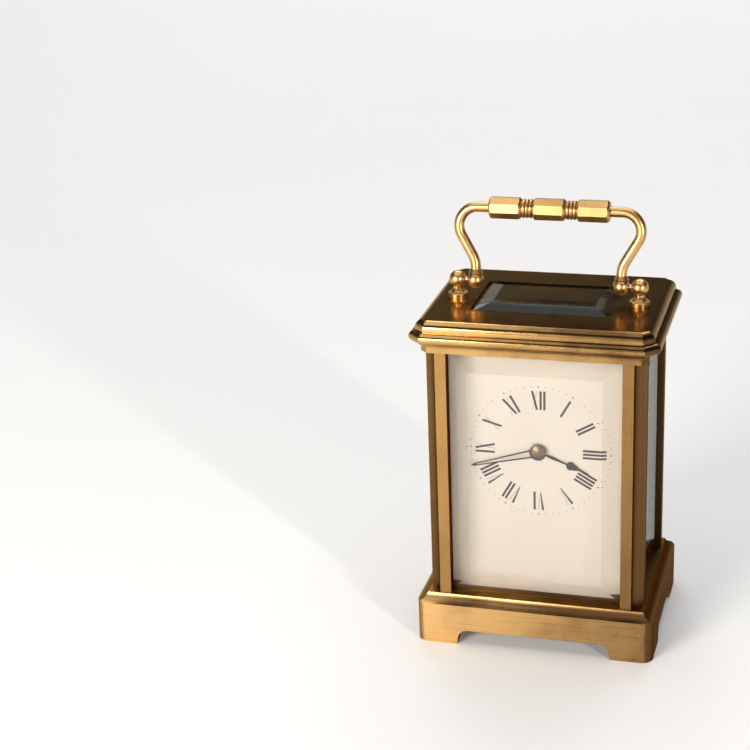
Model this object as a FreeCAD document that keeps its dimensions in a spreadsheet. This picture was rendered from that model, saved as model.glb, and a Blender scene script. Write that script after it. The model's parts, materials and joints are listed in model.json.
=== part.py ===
import FreeCAD, Part
import math
import os
import Sketcher
from FreeCAD import Placement, Rotation, Vector

# A four-pillar carriage clock: a brass case with a hinged back door and a folding handle, and the
# going movement with its platform escapement. Millimetres, +Z up, +Y towards the back, origin at
# the middle of the base's underside. The dial faces -Y.

SIZES = {
    # case
    "base_width": 83.0,
    "base_depth": 66.0,
    "plinth_top": 15.1,
    "platform_top": 17.7,
    "cove_reach": 4.2,
    "base_wall": 5.2,
    "deck_thickness": 5.2,
    "base_corner": 4.2,
    "foot_width": 14.3,
    "notch_height": 5.65,
    "notch_corner": 3.6,
    "foot_depth": 16.5,
    "pillar_width": 7.6,
    "pillar_scoop": 3.8,
    "pillar_quirk": 0.5,
    "pillar_length": 90.1,
    "platform_step": 0.6,
    "cornice_step": 1.0,
    "bead_radius": 1.9,
    "bead_reach": 4.8,
    "cornice_height": 11.2,
    "cornice_chamfer": 4.6,
    "top_opening_width": 48.0,
    "top_opening_depth": 32.0,
    # glass
    "glass_thick": 3.6,
    "glass_edge": 1.5,
    "glass_bevel": 6.5,
    "glass_recess": 1.2,
    "glass_groove": 1.4,
    "glass_play": 0.08,
    # handle
    "post_spacing": 62.6,
    "handle_depth": -1.6,
    "pivot_rise": 6.1,
    "post_ball": 2.95,
    "arm_ball": 2.85,
    "arm_spacing": 50.1,
    "arm_wire": 1.75,
    "arm_neck": 4.3,
    "arm_foot_bend": 8.0,
    "arm_top_bend": 6.4,
    "arm_spread": 31.1,
    "grip_rise": 25.0,
    "handle_lean": 9.5,
    "grip_length": 41.0,
    "grip_across": 7.2,
    "grip_neck": 2.65,
    "grip_neck_length": 4.0,
    "grip_bead": 0.6,
    "grip_chamfer": 0.8,
    "pivot_pin": 0.8,
    # door
    "door_gap": 0.3,
    "door_thick": 3.2,
    "door_rail": 5.0,
    "door_pin": 0.9,
    "door_pin_length": 3.0,
    "knob_radius": 2.2,
    # movement
    "movement_set_back": 4.0,
    "plate_width": 52.0,
    "plate_top": 97.0,
    "plate_thick": 2.0,
    "front_plate_face": -16.0,
    "back_plate_face": 15.0,
    "plate_post": 2.6,
    "plate_post_inset": 4.5,
    "screw_radius": 1.2,
    "screw_head": 2.3,
    "screw_head_thick": 1.2,
    "block_side": 6.0,
    "centre_height": 70.5,
    "arbor_radius": 0.9,
    "pivot_radius": 0.5,
    "pivot_play": 0.03,
    "barrel_height": 39.0,
    "barrel_radius": 15.5,
    "barrel_wall": 1.2,
    "barrel_length": 16.0,
    "contrate_height": 86.5,
    # dial and hands
    "dial_face": -22.3,
    "dial_thick": 1.5,
    "dial_gap": 0.3,
    "dial_hole": 2.0,
    "minute_reach": 24.4,
    "hour_reach": 18.6,
    "hand_boss": 2.9,
    # platform escapement
    "platform_width": 34.0,
    "platform_thick": 1.6,
    "balance_radius": 6.0,
    "escape_radius": 3.8,
    # the least gap between things that only just clear each other
    "clearance": 0.05,
}

doc = FreeCAD.newDocument("carriage_clock")
sheet = doc.addObject("Spreadsheet::Sheet", "sizes")
for row, (word, number) in enumerate(SIZES.items(), start=1):
    sheet.set(f"A{row}", word)
    sheet.set(f"B{row}", str(number))
    sheet.setAlias(f"B{row}", word)
doc.recompute()


class Dim:
    """A length, held as its number and as the sheet expression that gives it."""

    def __init__(self, value, text=None):
        self.value = value
        self.text = text or repr(value)

    def join(self, other, sign, flip=False):
        other = other if isinstance(other, Dim) else Dim(float(other))
        a, b = (other, self) if flip else (self, other)
        results = {
            "+": lambda: a.value + b.value,
            "-": lambda: a.value - b.value,
            "*": lambda: a.value * b.value,
            "/": lambda: a.value / b.value,
        }
        return Dim(results[sign](), f"({a.text} {sign} {b.text})")

    def __add__(self, other):
        return self.join(other, "+")

    def __radd__(self, other):
        return self.join(other, "+", True)

    def __sub__(self, other):
        return self.join(other, "-")

    def __rsub__(self, other):
        return self.join(other, "-", True)

    def __mul__(self, other):
        return self.join(other, "*")

    def __rmul__(self, other):
        return self.join(other, "*", True)

    def __truediv__(self, other):
        return self.join(other, "/")

    def __neg__(self):
        return self.join(-1.0, "*")


def root(length):
    """The square root of a Dim."""
    return Dim(math.sqrt(length.value), f"sqrt({length.text})")


class Sheet:
    """Reads a named size as a Dim: S.base_width."""

    def __getattr__(self, word):
        return Dim(float(sheet.get(word)), f"sizes.{word}")


S = Sheet()
PARTS = {}
FRONT = Rotation(Vector(1, 0, 0), 90)  # a piece drawn as seen from the front: its height runs to -Y


def number(value):
    return value.value if isinstance(value, Dim) else float(value)


def bind(thing, prop, value):
    """Sets a length on an object and ties it to the sheet."""
    text = value.text if isinstance(value, Dim) else repr(float(value))
    thing.setExpression(prop, text)


def place(thing, x=0, y=0, z=0, turn=None):
    """Puts an object in its place, with each coordinate tied to the sheet."""
    thing.Placement = Placement(Vector(number(x), number(y), number(z)), turn or Rotation())
    for axis, value in zip("xyz", (x, y, z)):
        if isinstance(value, Dim):
            bind(thing, f".Placement.Base.{axis}", value)
    return thing


def keep(node, thing):
    """Names a finished sub-part: the label is the node's and the file's name."""
    thing.Label = node
    PARTS[node] = thing
    return thing


# Outlines. A corner is (x, y); a corner that starts an arc is (x, y, centre, radius), with the arc
# always shorter than a half turn. A circle is ("circle", x, y, radius).


def circle(x, y, radius):
    return ("circle", x, y, radius)


def rectangle(x0, y0, x1, y1):
    return [(x0, y0), (x1, y0), (x1, y1), (x0, y1)]


def edge_shape(start, end):
    """The edge from one corner to the next, and whether it is drawn backwards."""
    a = Vector(number(start[0]), number(start[1]), 0)
    b = Vector(number(end[0]), number(end[1]), 0)
    if len(start) == 2:
        return Part.LineSegment(a, b), False
    centre = Vector(number(start[2][0]), number(start[2][1]), 0)
    angle_a = math.atan2(a.y - centre.y, a.x - centre.x)
    angle_b = math.atan2(b.y - centre.y, b.x - centre.x)
    backwards = (angle_b - angle_a) % (2 * math.pi) > math.pi
    if backwards:
        angle_a, angle_b = angle_b, angle_a
    full = Part.Circle(centre, Vector(0, 0, 1), number(start[3]))
    return Part.ArcOfCircle(full, angle_a, angle_b), backwards


def trace(sketch, outline):
    """Draws an outline in a sketch, with every corner and radius tied to the sheet."""
    first = sketch.GeometryCount
    ties = []
    if outline[0] == "circle":
        x, y, radius = outline[1:]
        centre = Vector(number(x), number(y), 0)
        sketch.addGeometry(Part.Circle(centre, Vector(0, 0, 1), number(radius)))
        ties = [
            (Sketcher.Constraint("DistanceX", -1, 1, first, 3, number(x)), x),
            (Sketcher.Constraint("DistanceY", -1, 1, first, 3, number(y)), y),
            (Sketcher.Constraint("Radius", first, number(radius)), radius),
        ]
    else:
        count = len(outline)
        edges = [edge_shape(outline[i], outline[(i + 1) % count]) for i in range(count)]
        sketch.addGeometry([shape for shape, _ in edges])
        begin = [2 if backwards else 1 for _, backwards in edges]
        for i in range(count):
            j = (i + 1) % count
            joint = Sketcher.Constraint("Coincident", first + i, 3 - begin[i], first + j, begin[j])
            ties.append((joint, None))
        for i, corner in enumerate(outline):
            x, y = corner[0], corner[1]
            spot = (first + i, begin[i])
            ties.append((Sketcher.Constraint("DistanceX", -1, 1, *spot, number(x)), x))
            ties.append((Sketcher.Constraint("DistanceY", -1, 1, *spot, number(y)), y))
            if len(corner) > 2:
                ties.append((Sketcher.Constraint("Radius", first + i, number(corner[3])), corner[3]))
    indices = sketch.addConstraint([tie for tie, _ in ties])
    for index, (_, value) in zip(indices, ties):
        if isinstance(value, Dim):
            sketch.setExpression(f"Constraints[{index}]", value.text)


def draw(body, name, plane, outlines, rise=0):
    """A sketch on one of the body's own planes, raised along that plane's normal."""
    sketch = body.newObject("Sketcher::SketchObject", name)
    support = next(o for o in body.Origin.OriginFeatures if o.Role == plane)
    sketch.AttachmentSupport = [(support, "")]
    sketch.MapMode = "FlatFace"
    sketch.AttachmentOffset = Placement(Vector(0, 0, number(rise)), Rotation())
    bind(sketch, ".AttachmentOffset.Base.z", rise)
    for outline in outlines:
        trace(sketch, outline)
    return sketch


def extrude(name, outlines, low, high, plane="XY_Plane", body=None):
    """A body, or a further step of one, padded from low to high along its plane's normal."""
    body = body or doc.addObject("PartDesign::Body", name)
    sketch = draw(body, f"{name}_sketch", plane, outlines, low)
    pad = body.newObject("PartDesign::Pad", f"{name}_pad")
    pad.Profile = sketch
    bind(pad, "Length", high - low)
    return body


def pocket(body, name, outlines, low, high, plane="XY_Plane"):
    """Cuts the body from low to high along its plane's normal."""
    sketch = draw(body, f"{name}_sketch", plane, outlines, high)
    cut = body.newObject("PartDesign::Pocket", f"{name}_pocket")
    cut.Profile = sketch
    bind(cut, "Length", high - low)
    return body


def turn(name, outline, body=None):
    """A body turned about its own Z axis from an outline of (radius, height) corners."""
    body = body or doc.addObject("PartDesign::Body", name)
    sketch = draw(body, f"{name}_sketch", "XZ_Plane", [outline])
    revolution = body.newObject("PartDesign::Revolution", f"{name}_turning")
    revolution.Profile = sketch
    revolution.ReferenceAxis = (sketch, ["V_Axis"])
    revolution.Angle = 360
    return body


def rod(name, radius, low, high):
    return turn(name, rectangle(0, low, radius, high))


def combine(kind, name, pieces):
    """A boolean of whole pieces: MultiFuse, MultiCommon or Compound."""
    result = doc.addObject(f"Part::{kind}", name)
    if kind == "Compound":
        result.Links = pieces
    else:
        result.Shapes = pieces
    return result


def cut(name, base, *tools):
    """The base less each of the tools."""
    result = doc.addObject("Part::Cut", name)
    result.Base = base
    result.Tool = tools[0] if len(tools) == 1 else combine("MultiFuse", f"{name}_tools", list(tools))
    return result


def made(name, shape, x=0, y=0, z=0, turned=None):
    """A piece whose outline needs a formula: its shape is made here from the sheet's numbers."""
    piece = doc.addObject("Part::Feature", name)
    piece.Shape = shape if shape.Placement.isIdentity() else Part.Compound([shape])
    return place(piece, x, y, z, turned)


# Shared lines of the case

half_body_width = S.base_width / 2 - S.cove_reach
half_body_depth = S.base_depth / 2 - S.cove_reach
cornice_foot = S.platform_top + S.pillar_length
case_top = cornice_foot + S.cornice_height
inner_x = half_body_width - S.pillar_width
inner_y = half_body_depth - S.pillar_width
deck_bottom = S.platform_top - S.deck_thickness
centre_z = S.centre_height
glass_back_y = half_body_depth - S.glass_recess - S.glass_thick
groove_end_x = inner_x + S.glass_groove
groove_end_y = inner_y + S.glass_groove
glass_back_x = half_body_width - S.glass_recess - S.glass_thick


def moulding(name, profile, corner=None):
    """A moulding carried round the case: the profile, as (reach beyond the pillars, height), is
    run along each side and met in mitres; with a corner reach it is run across the corners too."""
    runs = [("sides", half_body_width, 0), ("faces", half_body_depth, 90)]
    if corner is not None:
        runs += [("corners_a", corner, 45), ("corners_b", corner, -45)]
    bars = []
    for run, half, angle in runs:
        right = []
        for step in profile:
            tail = ((half + step[2][0], step[2][1]), step[3]) if len(step) > 2 else ()
            right.append((half + step[0], step[1], *tail))
        outline = list(right)
        outline += [(-profile[-1][0] - half, profile[-1][1])]
        for i in range(len(profile) - 2, -1, -1):
            before = outline.pop()
            step = profile[i]
            arc = ((-half - step[2][0], step[2][1]), step[3]) if len(step) > 2 else ()
            outline.append((*before[:2], *arc))
            outline.append((-half - step[0], step[1]))
        bar = extrude(f"{name}_{run}", [outline], -S.base_width, S.base_width, "XZ_Plane")
        bars.append(place(bar, turn=Rotation(Vector(0, 0, 1), angle)))
    return combine("MultiCommon", f"{name}_moulding", bars)


def rounded(half_x, half_y, radius):
    """A rectangle about the middle with round corners."""
    x, y = half_x - radius, half_y - radius
    return [
        (x, -half_y, (x, -y), radius),
        (half_x, -y),
        (half_x, y, (x, y), radius),
        (x, half_y),
        (-x, half_y, (-x, y), radius),
        (-half_x, y),
        (-half_x, -y, (-x, -y), radius),
        (-x, -half_y),
    ]


def box(name, x0, x1, y0, y1, z0, z1):
    return extrude(name, [rectangle(x0, y0, x1, y1)], z0, z1)


def four_corners(x, y):
    return [(-x, -y), (x, -y), (-x, y), (x, y)]


# Glasses: flat inside, bevelled outside, thin at the edge where the grooves take them


def bevelled_glass(node, width, height, low=0):
    """A pane drawn in its own plane, flat side at zero, standing on its lower edge."""
    half = width / 2
    bevel = S.glass_bevel
    pane = box(f"{node}_blank", -half, half, 0, S.glass_thick, low, low + height)
    tools = []
    for name, centre_z, side_reach, turn_angle, length in (
        ("left", low + height / 2, half, 90, height),
        ("right", low + height / 2, half, -90, height),
        ("top", low + height / 2, height / 2, 0, width),
        ("bottom", low + height / 2, height / 2, 180, width),
    ):
        rim = side_reach - S.glass_groove
        wedge = [
            (S.glass_edge, rim),
            (S.glass_thick, rim - bevel),
            (S.glass_thick + 1, rim - bevel),
            (S.glass_thick + 1, side_reach + 1),
            (S.glass_edge, side_reach + 1),
        ]
        tool = extrude(f"{node}_{name}", [wedge], -length / 2 - 1, length / 2 + 1, "YZ_Plane")
        tools.append(place(tool, 0, 0, centre_z, Rotation(Vector(0, 1, 0), turn_angle)))
    return cut(node, pane, *tools)


# The case


def make_base():
    reach = S.cove_reach
    rise = S.platform_top - S.plinth_top
    step = S.platform_step
    run = reach - step
    radius = (run * run + rise * rise) / (rise * 2)
    profile = [
        (reach, 0),
        (reach, S.plinth_top, (reach, S.plinth_top + radius), radius),
        (step, S.platform_top),
    ]
    plan = rounded(S.base_width / 2, S.base_depth / 2, S.base_corner)
    block = extrude("base_plan", [plan], 0, S.platform_top)
    shell = combine("MultiCommon", "base_block", [moulding("base", profile), block])
    wall = S.base_wall
    tools = [
        box(
            "base_hollow",
            wall - S.base_width / 2,
            S.base_width / 2 - wall,
            wall - S.base_depth / 2,
            S.base_depth / 2 - wall,
            -1,
            deck_bottom,
        )
    ]
    for face, half, foot, plane in (
        ("front", S.base_width / 2, S.foot_width, "XZ_Plane"),
        ("side", S.base_depth / 2, S.foot_depth, "YZ_Plane"),
    ):
        bend = S.notch_corner
        low_x, top, spring = half - foot, S.notch_height, S.notch_height - bend
        notch = [
            (-low_x, -1),
            (low_x, -1),
            (low_x - 0.5, spring, (low_x - 0.5 - bend, spring), bend),
            (low_x - 0.5 - bend, top),
            (bend - low_x + 0.5, top, (bend - low_x + 0.5, spring), bend),
            (0.5 - low_x, spring),
        ]
        tools.append(extrude(f"base_notch_{face}", [notch], -S.base_width, S.base_width, plane))
    groove = S.glass_edge + S.glass_play * 2
    for side in (-1, 1):
        x0 = (glass_back_x - S.glass_play) * side
        x1 = (glass_back_x - S.glass_play + groove) * side
        low, high = (x0, x1) if side > 0 else (x1, x0)
        name = f"base_groove_{side}"
        tools.append(box(name, low, high, -groove_end_y, groove_end_y, glass_floor, above_base))
    tools.append(
        box(
            "base_groove_front",
            -groove_end_x,
            groove_end_x,
            -glass_back_y + S.glass_play - groove,
            -glass_back_y + S.glass_play,
            glass_floor,
            above_base,
        )
    )
    for i, (x, y) in enumerate(four_corners(pillar_x, pillar_y)):
        bore = rod(f"base_bore_{i}", screw_bore, 0, above_base)
        tools.append(place(bore, x, y))
    for i, (x, y) in enumerate(four_corners(block_x, block_y)):
        bore = rod(f"base_seat_bore_{i}", screw_bore, 0, above_base)
        tools.append(place(bore, x, y + set_back))
    bore = rod("base_door_bore", door_pin_bore, S.platform_top - S.door_pin_length, above_base)
    tools.append(place(bore, door_x, door_y))
    keep("base", cut("base", shell, *tools))


# the pillar's screw stands a little inside its middle, clear of the scooped corner
pillar_x = half_body_width - S.pillar_width * 0.56
pillar_y = half_body_depth - S.pillar_width * 0.56
groove_depth = 0.9
glass_floor = S.platform_top - groove_depth
glass_ceiling = cornice_foot + groove_depth
above_base = S.platform_top + 1
screw_bore = S.screw_radius + S.clearance
set_back = S.movement_set_back
block_x = S.plate_width / 2 - S.block_side
block_y = S.back_plate_face - S.plate_thick - S.block_side * 1.2
door_pin_bore = S.door_pin + S.clearance
door_x = -inner_x + S.door_gap + S.door_thick / 2
door_y = half_body_depth - S.door_thick / 2


def make_pillars():
    spigot = S.pillar_width / 4
    for node, side, face in (
        ("front_left_pillar", -1, -1),
        ("front_right_pillar", 1, -1),
        ("back_left_pillar", -1, 1),
        ("back_right_pillar", 1, 1),
    ):
        scoop, quirk = S.pillar_scoop, S.pillar_quirk
        outer_x, outer_y = half_body_width, half_body_depth
        near = [
            (inner_x, inner_y),
            (outer_x, inner_y),
            (outer_x, outer_y - scoop),
            (outer_x - quirk, outer_y - scoop, (outer_x - quirk, outer_y - quirk), scoop - quirk),
            (outer_x - scoop, outer_y - quirk),
            (outer_x - scoop, outer_y),
            (inner_x, outer_y),
        ]
        outline = []
        for corner in near:
            tail = ((corner[2][0] * side, corner[2][1] * face), corner[3]) if len(corner) > 2 else ()
            outline.append((corner[0] * side, corner[1] * face, *tail))
        body = extrude(node, [outline], S.platform_top, cornice_foot)
        extrude(f"{node}_spigot", [circle(pillar_x * side, pillar_y * face, spigot)],
                cornice_foot - 1, cornice_foot + spigot_rise, body=body)
        hole = [circle(pillar_x * side, pillar_y * face, S.screw_radius)]
        pocket(body, f"{node}_hole", hole, S.platform_top, S.platform_top + pillar_tapping)
        groove = S.glass_groove
        edge = S.glass_edge + S.glass_play * 2
        x0 = glass_back_x - S.glass_play
        side_groove = sorted([x0 * side, (x0 + edge) * side], key=number)
        side_depth = sorted([inner_y * face, (inner_y + groove) * face], key=number)
        pocket(body, f"{node}_side_groove",
               [rectangle(side_groove[0], side_depth[0], side_groove[1], side_depth[1])],
               S.platform_top, cornice_foot)
        if face < 0:
            y0 = glass_back_y - S.glass_play
            across = sorted([inner_x * side, (inner_x + groove) * side], key=number)
            pocket(body, f"{node}_front_groove",
                   [rectangle(across[0], -y0 - edge, across[1], -y0)],
                   S.platform_top, cornice_foot)
        keep(node, body)


spigot_rise = S.pillar_width * 0.5
pillar_tapping = S.pillar_width


def make_cornice():
    foot = cornice_foot
    step = S.cornice_step
    bead, bead_reach = S.bead_radius, S.bead_reach
    bead_low = foot + 3.6
    bead_high = bead_low + bead * 2
    middle = bead_low + bead
    bead_in = bead_reach - bead
    hollow = bead_low - 0.2 - (foot + 1.5)
    hollow_run = bead_in - 0.3 - step
    hollow_radius = (hollow_run * hollow_run + hollow * hollow) / (hollow_run * 2)
    top_reach = bead_in - 0.2
    ovolo = case_top - (bead_high + 0.9)
    profile = [
        (step, foot),
        (step, foot + 1.5, (step + hollow_radius, foot + 1.5), hollow_radius),
        (bead_in - 0.3, bead_low - 0.2),
        (bead_in, bead_low - 0.2),
        (bead_in, bead_low, (bead_in, middle), bead),
        (bead_reach, middle, (bead_in, middle), bead),
        (bead_in, bead_high),
        (top_reach, bead_high),
        (top_reach, bead_high + 0.9, (top_reach - ovolo, bead_high + 0.9), ovolo),
        (top_reach - ovolo, case_top),
    ]
    diagonal = (half_body_width + half_body_depth) / math.sqrt(2)
    across = diagonal - S.cornice_chamfer / math.sqrt(2) + bead_reach * 0.414
    block = moulding("cornice", profile, across)
    half_x, half_y = S.top_opening_width / 2, S.top_opening_depth / 2
    glass_x, glass_y = half_x + top_glass_lap, half_y + top_glass_lap
    tools = [
        box("cornice_window", -half_x, half_x, -half_y, half_y, foot - 1, case_top + 1),
        box("cornice_rebate", -glass_x - S.clearance, glass_x + S.clearance,
            -glass_y - S.clearance, glass_y + S.clearance, foot - 1, top_glass_top),
        box("cornice_hollow", -inner_x, inner_x, -inner_y, inner_y, foot - 1, foot + 2.4),
    ]
    groove = S.glass_edge + S.glass_play * 2
    for side in (-1, 1):
        x0 = glass_back_x - S.glass_play
        low, high = sorted([x0 * side, (x0 + groove) * side], key=number)
        name = f"cornice_groove_{side}"
        tools.append(box(name, low, high, -groove_end_y, groove_end_y, foot - 1, glass_ceiling))
    y1 = -glass_back_y + S.glass_play
    name = "cornice_groove_front"
    tools.append(box(name, -groove_end_x, groove_end_x, y1 - groove, y1, foot - 1, glass_ceiling))
    for i, (x, y) in enumerate(four_corners(pillar_x, pillar_y)):
        socket = S.pillar_width / 4 + S.clearance
        hole = rod(f"cornice_bore_{i}", socket, foot - 1, foot + spigot_rise + 0.4)
        tools.append(place(hole, x, y))
    for side in (-1, 1):
        hole = rod(f"cornice_post_bore_{side}", S.screw_radius + S.clearance, foot - 1, case_top + 1)
        tools.append(place(hole, S.post_spacing / 2 * side, S.handle_depth))
        recess = rod(f"cornice_nut_recess_{side}", S.screw_head + 0.2, foot - 1, foot + 2.4)
        tools.append(place(recess, S.post_spacing / 2 * side, S.handle_depth))
    bore = rod("cornice_door_bore", door_pin_bore, foot - 1, foot + S.door_pin_length)
    tools.append(place(bore, door_x, door_y))
    keep("cornice", cut("cornice", block, *tools))


top_glass_lap = S.glass_groove
top_glass_top = case_top - 1.0


def make_glasses():
    play = 0.15
    tall = glass_ceiling - glass_floor - play * 2
    wide = (inner_x + S.glass_groove - play) * 2
    deep = (inner_y + S.glass_groove - play) * 2
    front = bevelled_glass("front_glass", wide, tall)
    keep("front_glass", place(front, 0, -glass_back_y, glass_floor + play, Rotation(Vector(0, 0, 1), 180)))
    left = bevelled_glass("left_glass", deep, tall)
    keep("left_glass", place(left, -glass_back_x, 0, glass_floor + play, Rotation(Vector(0, 0, 1), 90)))
    right = bevelled_glass("right_glass", deep, tall)
    keep("right_glass", place(right, glass_back_x, 0, glass_floor + play, Rotation(Vector(0, 0, 1), -90)))
    wide = S.top_opening_width + top_glass_lap * 2
    deep = S.top_opening_depth + top_glass_lap * 2
    top = bevelled_glass("top_glass", wide, deep, -deep / 2)
    # the edge lies against the rebate's upper face, and the bevelled middle stands up into the window
    keep("top_glass", place(top, 0, 0, top_glass_top - S.glass_edge, Rotation(Vector(1, 0, 0), 90)))
    under = top_glass_top - S.glass_edge
    ring = box("top_glass_frame_blank", -wide / 2, wide / 2, -deep / 2, deep / 2, under - 1.6, under)
    inner = box("top_glass_frame_window", 2 - wide / 2, wide / 2 - 2, 2 - deep / 2, deep / 2 - 2,
                under - 3, under + 1)
    keep("top_glass_frame", cut("top_glass_frame", ring, inner))


def screw(name, x, y, z, length, turned=None):
    """A cheese-head screw with its head's underside at the given point and its shank along +Z."""
    radius, head, thick = S.screw_radius, S.screw_head, S.screw_head_thick
    outline = [(0, -thick), (head, -thick), (head, 0), (radius, 0), (radius, length), (0, length)]
    body = turn(name, outline)
    pocket(body, f"{name}_slot", [rectangle(-head - 1, -0.3, head + 1, 0.3)], -thick - 1, 0.5 - thick)
    return place(body, x, y, z, turned)


def make_case_screws():
    screws = []
    length = S.deck_thickness + pillar_tapping - 1
    for i, (x, y) in enumerate(four_corners(pillar_x, pillar_y)):
        screws.append(screw(f"pillar_screw_{i}", x, y, deck_bottom, length))
    keep("pillar_screws", combine("Compound", "pillar_screws", screws))
    screws = []
    length = S.deck_thickness + S.block_side - 1.5
    for i, (x, y) in enumerate(four_corners(block_x, block_y)):
        screws.append(screw(f"movement_screw_{i}", x, y + set_back, deck_bottom, length))
    keep("movement_screws", combine("Compound", "movement_screws", screws))


# The door, hinged on two pins at its left edge


def make_door():
    gap, thick = S.door_gap, S.door_thick
    left, right = -inner_x + gap, inner_x - gap
    low, high = S.platform_top + gap, cornice_foot - gap
    y0, y1 = door_y - thick / 2, half_body_depth
    blank = box("door_blank", door_x, right, y0, y1, low, high)
    hinge = place(rod("door_edge", thick / 2, low, high), door_x, door_y)
    rail = S.door_rail
    window = box("door_window", left + rail, right - rail, y0 - 1, y1 + 1, low + rail, high - rail)
    lap = S.glass_groove
    rebate = box("door_rebate", left + rail - lap, right - rail + lap, y0 - 1, y0 + S.glass_edge + 0.1,
                 low + rail - lap, high - rail + lap)
    frame = combine("MultiFuse", "door_solid", [blank, hinge])
    tools = [window, rebate]
    for end, start in (("low", low - 1), ("high", high - S.door_pin_length)):
        hole = rod(f"door_pin_hole_{end}", S.door_pin, start, start + S.door_pin_length + 1)
        tools.append(place(hole, door_x, door_y))
    knob_x = right - rail / 2
    knob_z = centre_z
    tools.append(place(rod("door_knob_hole", S.screw_radius * 0.6, -6, 6), knob_x, y1, knob_z, FRONT))
    keep("door_frame", cut("door_frame", frame, *tools))
    play = 0.1
    wide = right - left - rail * 2 + (lap - play) * 2
    tall = high - low - rail * 2 + (lap - play) * 2
    glass = bevelled_glass("door_glass", wide, tall)
    keep("door_glass", place(glass, (left + right) / 2, y0 + 0.1, low + rail - lap + play))
    pins = []
    reach = S.door_pin_length
    for end, start in (("low", low - reach * 0.8), ("high", high - reach)):
        pins.append(place(rod(f"door_pin_{end}", S.door_pin, start, start + reach * 1.8), door_x, door_y))
    keep("door_hinge_pins", combine("Compound", "door_hinge_pins", pins))
    ball = S.knob_radius
    shank = S.screw_radius * 0.6
    outline = [
        (0, -thick + 0.4),
        (shank, -thick + 0.4),
        (shank, 0),
        (shank * 2.2, 0),
        (shank * 2.2, 0.6),
        (shank * 1.3, 1.2),
        (ball * 0.6, ball * 0.8 + 0.6, (0, ball * 1.6 + 0.6), ball),
        (0, ball * 2.6 + 0.6),
    ]
    knob = turn("door_knob", outline)
    keep("door_knob", place(knob, knob_x, y1, knob_z, Rotation(Vector(1, 0, 0), -90)))


# The handle: two bent arms and a faceted grip, turning on the balls of two posts


pivot_z = case_top + S.pivot_rise
post_neck = Dim(1.65)
nut_thick = 1.2
post_x = S.post_spacing / 2
arm_x = S.arm_spacing / 2


def ball_outline(stem, ball, low, middle):
    """The profile of a ball on a stem: the stem's top to the ball's crown."""
    drop = root(ball * ball - stem * stem)
    return [
        (stem, low),
        (stem, middle - drop, (0, middle), ball),
        (ball, middle, (0, middle), ball),
        (0, middle + ball),
    ]


def make_handle():
    rise = S.pivot_rise
    pin = S.pivot_pin
    shank_end = nut_thick - S.cornice_height
    for node, side in (("left_handle_post", -1), ("right_handle_post", 1)):
        foot = [(0, shank_end), (S.screw_radius, shank_end), (S.screw_radius, 0)]
        foot += [(3.5, 0), (3.5, 1.2), (3.2, 1.5), (2.6, 1.6), (2.1, 2.2), (post_neck, 2.9)]
        post = turn(node + "_turned", foot + ball_outline(post_neck, S.post_ball, 3.2, rise))
        place(post, post_x * side, S.handle_depth, case_top)
        hole = rod(node + "_bore", pin + S.clearance, -1.2, 4.0)
        place(hole, post_x * side, S.handle_depth, pivot_z, Rotation(Vector(0, 1, 0), -90 * side))
        keep(node, cut(node, post, hole))
    nuts = []
    for side in (-1, 1):
        rings = [circle(0, 0, S.screw_head), circle(0, 0, S.screw_radius)]
        nut = extrude(f"post_nut_{side}", rings, 0, nut_thick)
        nuts.append(place(nut, post_x * side, S.handle_depth, cornice_foot + nut_thick))
    keep("handle_post_nuts", combine("Compound", "handle_post_nuts", nuts))

    pins = []
    for side in (-1, 1):
        start = S.arm_ball * 0.5
        end = post_x - arm_x + 0.9
        piece = turn(f"handle_pin_{side}", rectangle(0, -start, pin, end))
        outward = Rotation(Vector(0, 1, 0), 90 * side)
        pins.append(place(piece, arm_x * side, S.handle_depth, pivot_z, outward))
    keep("handle_pivot_pins", combine("Compound", "handle_pivot_pins", pins))

    leaning = Rotation(Vector(1, 0, 0), -number(S.handle_lean))
    for node, side in (("left_handle_arm", -1), ("right_handle_arm", 1)):
        keep(node, made(node, arm_shape(side), 0, S.handle_depth, pivot_z, leaning))
    keep("handle_grip", made("handle_grip", grip_shape(), 0, S.handle_depth, pivot_z, leaning))


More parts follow.
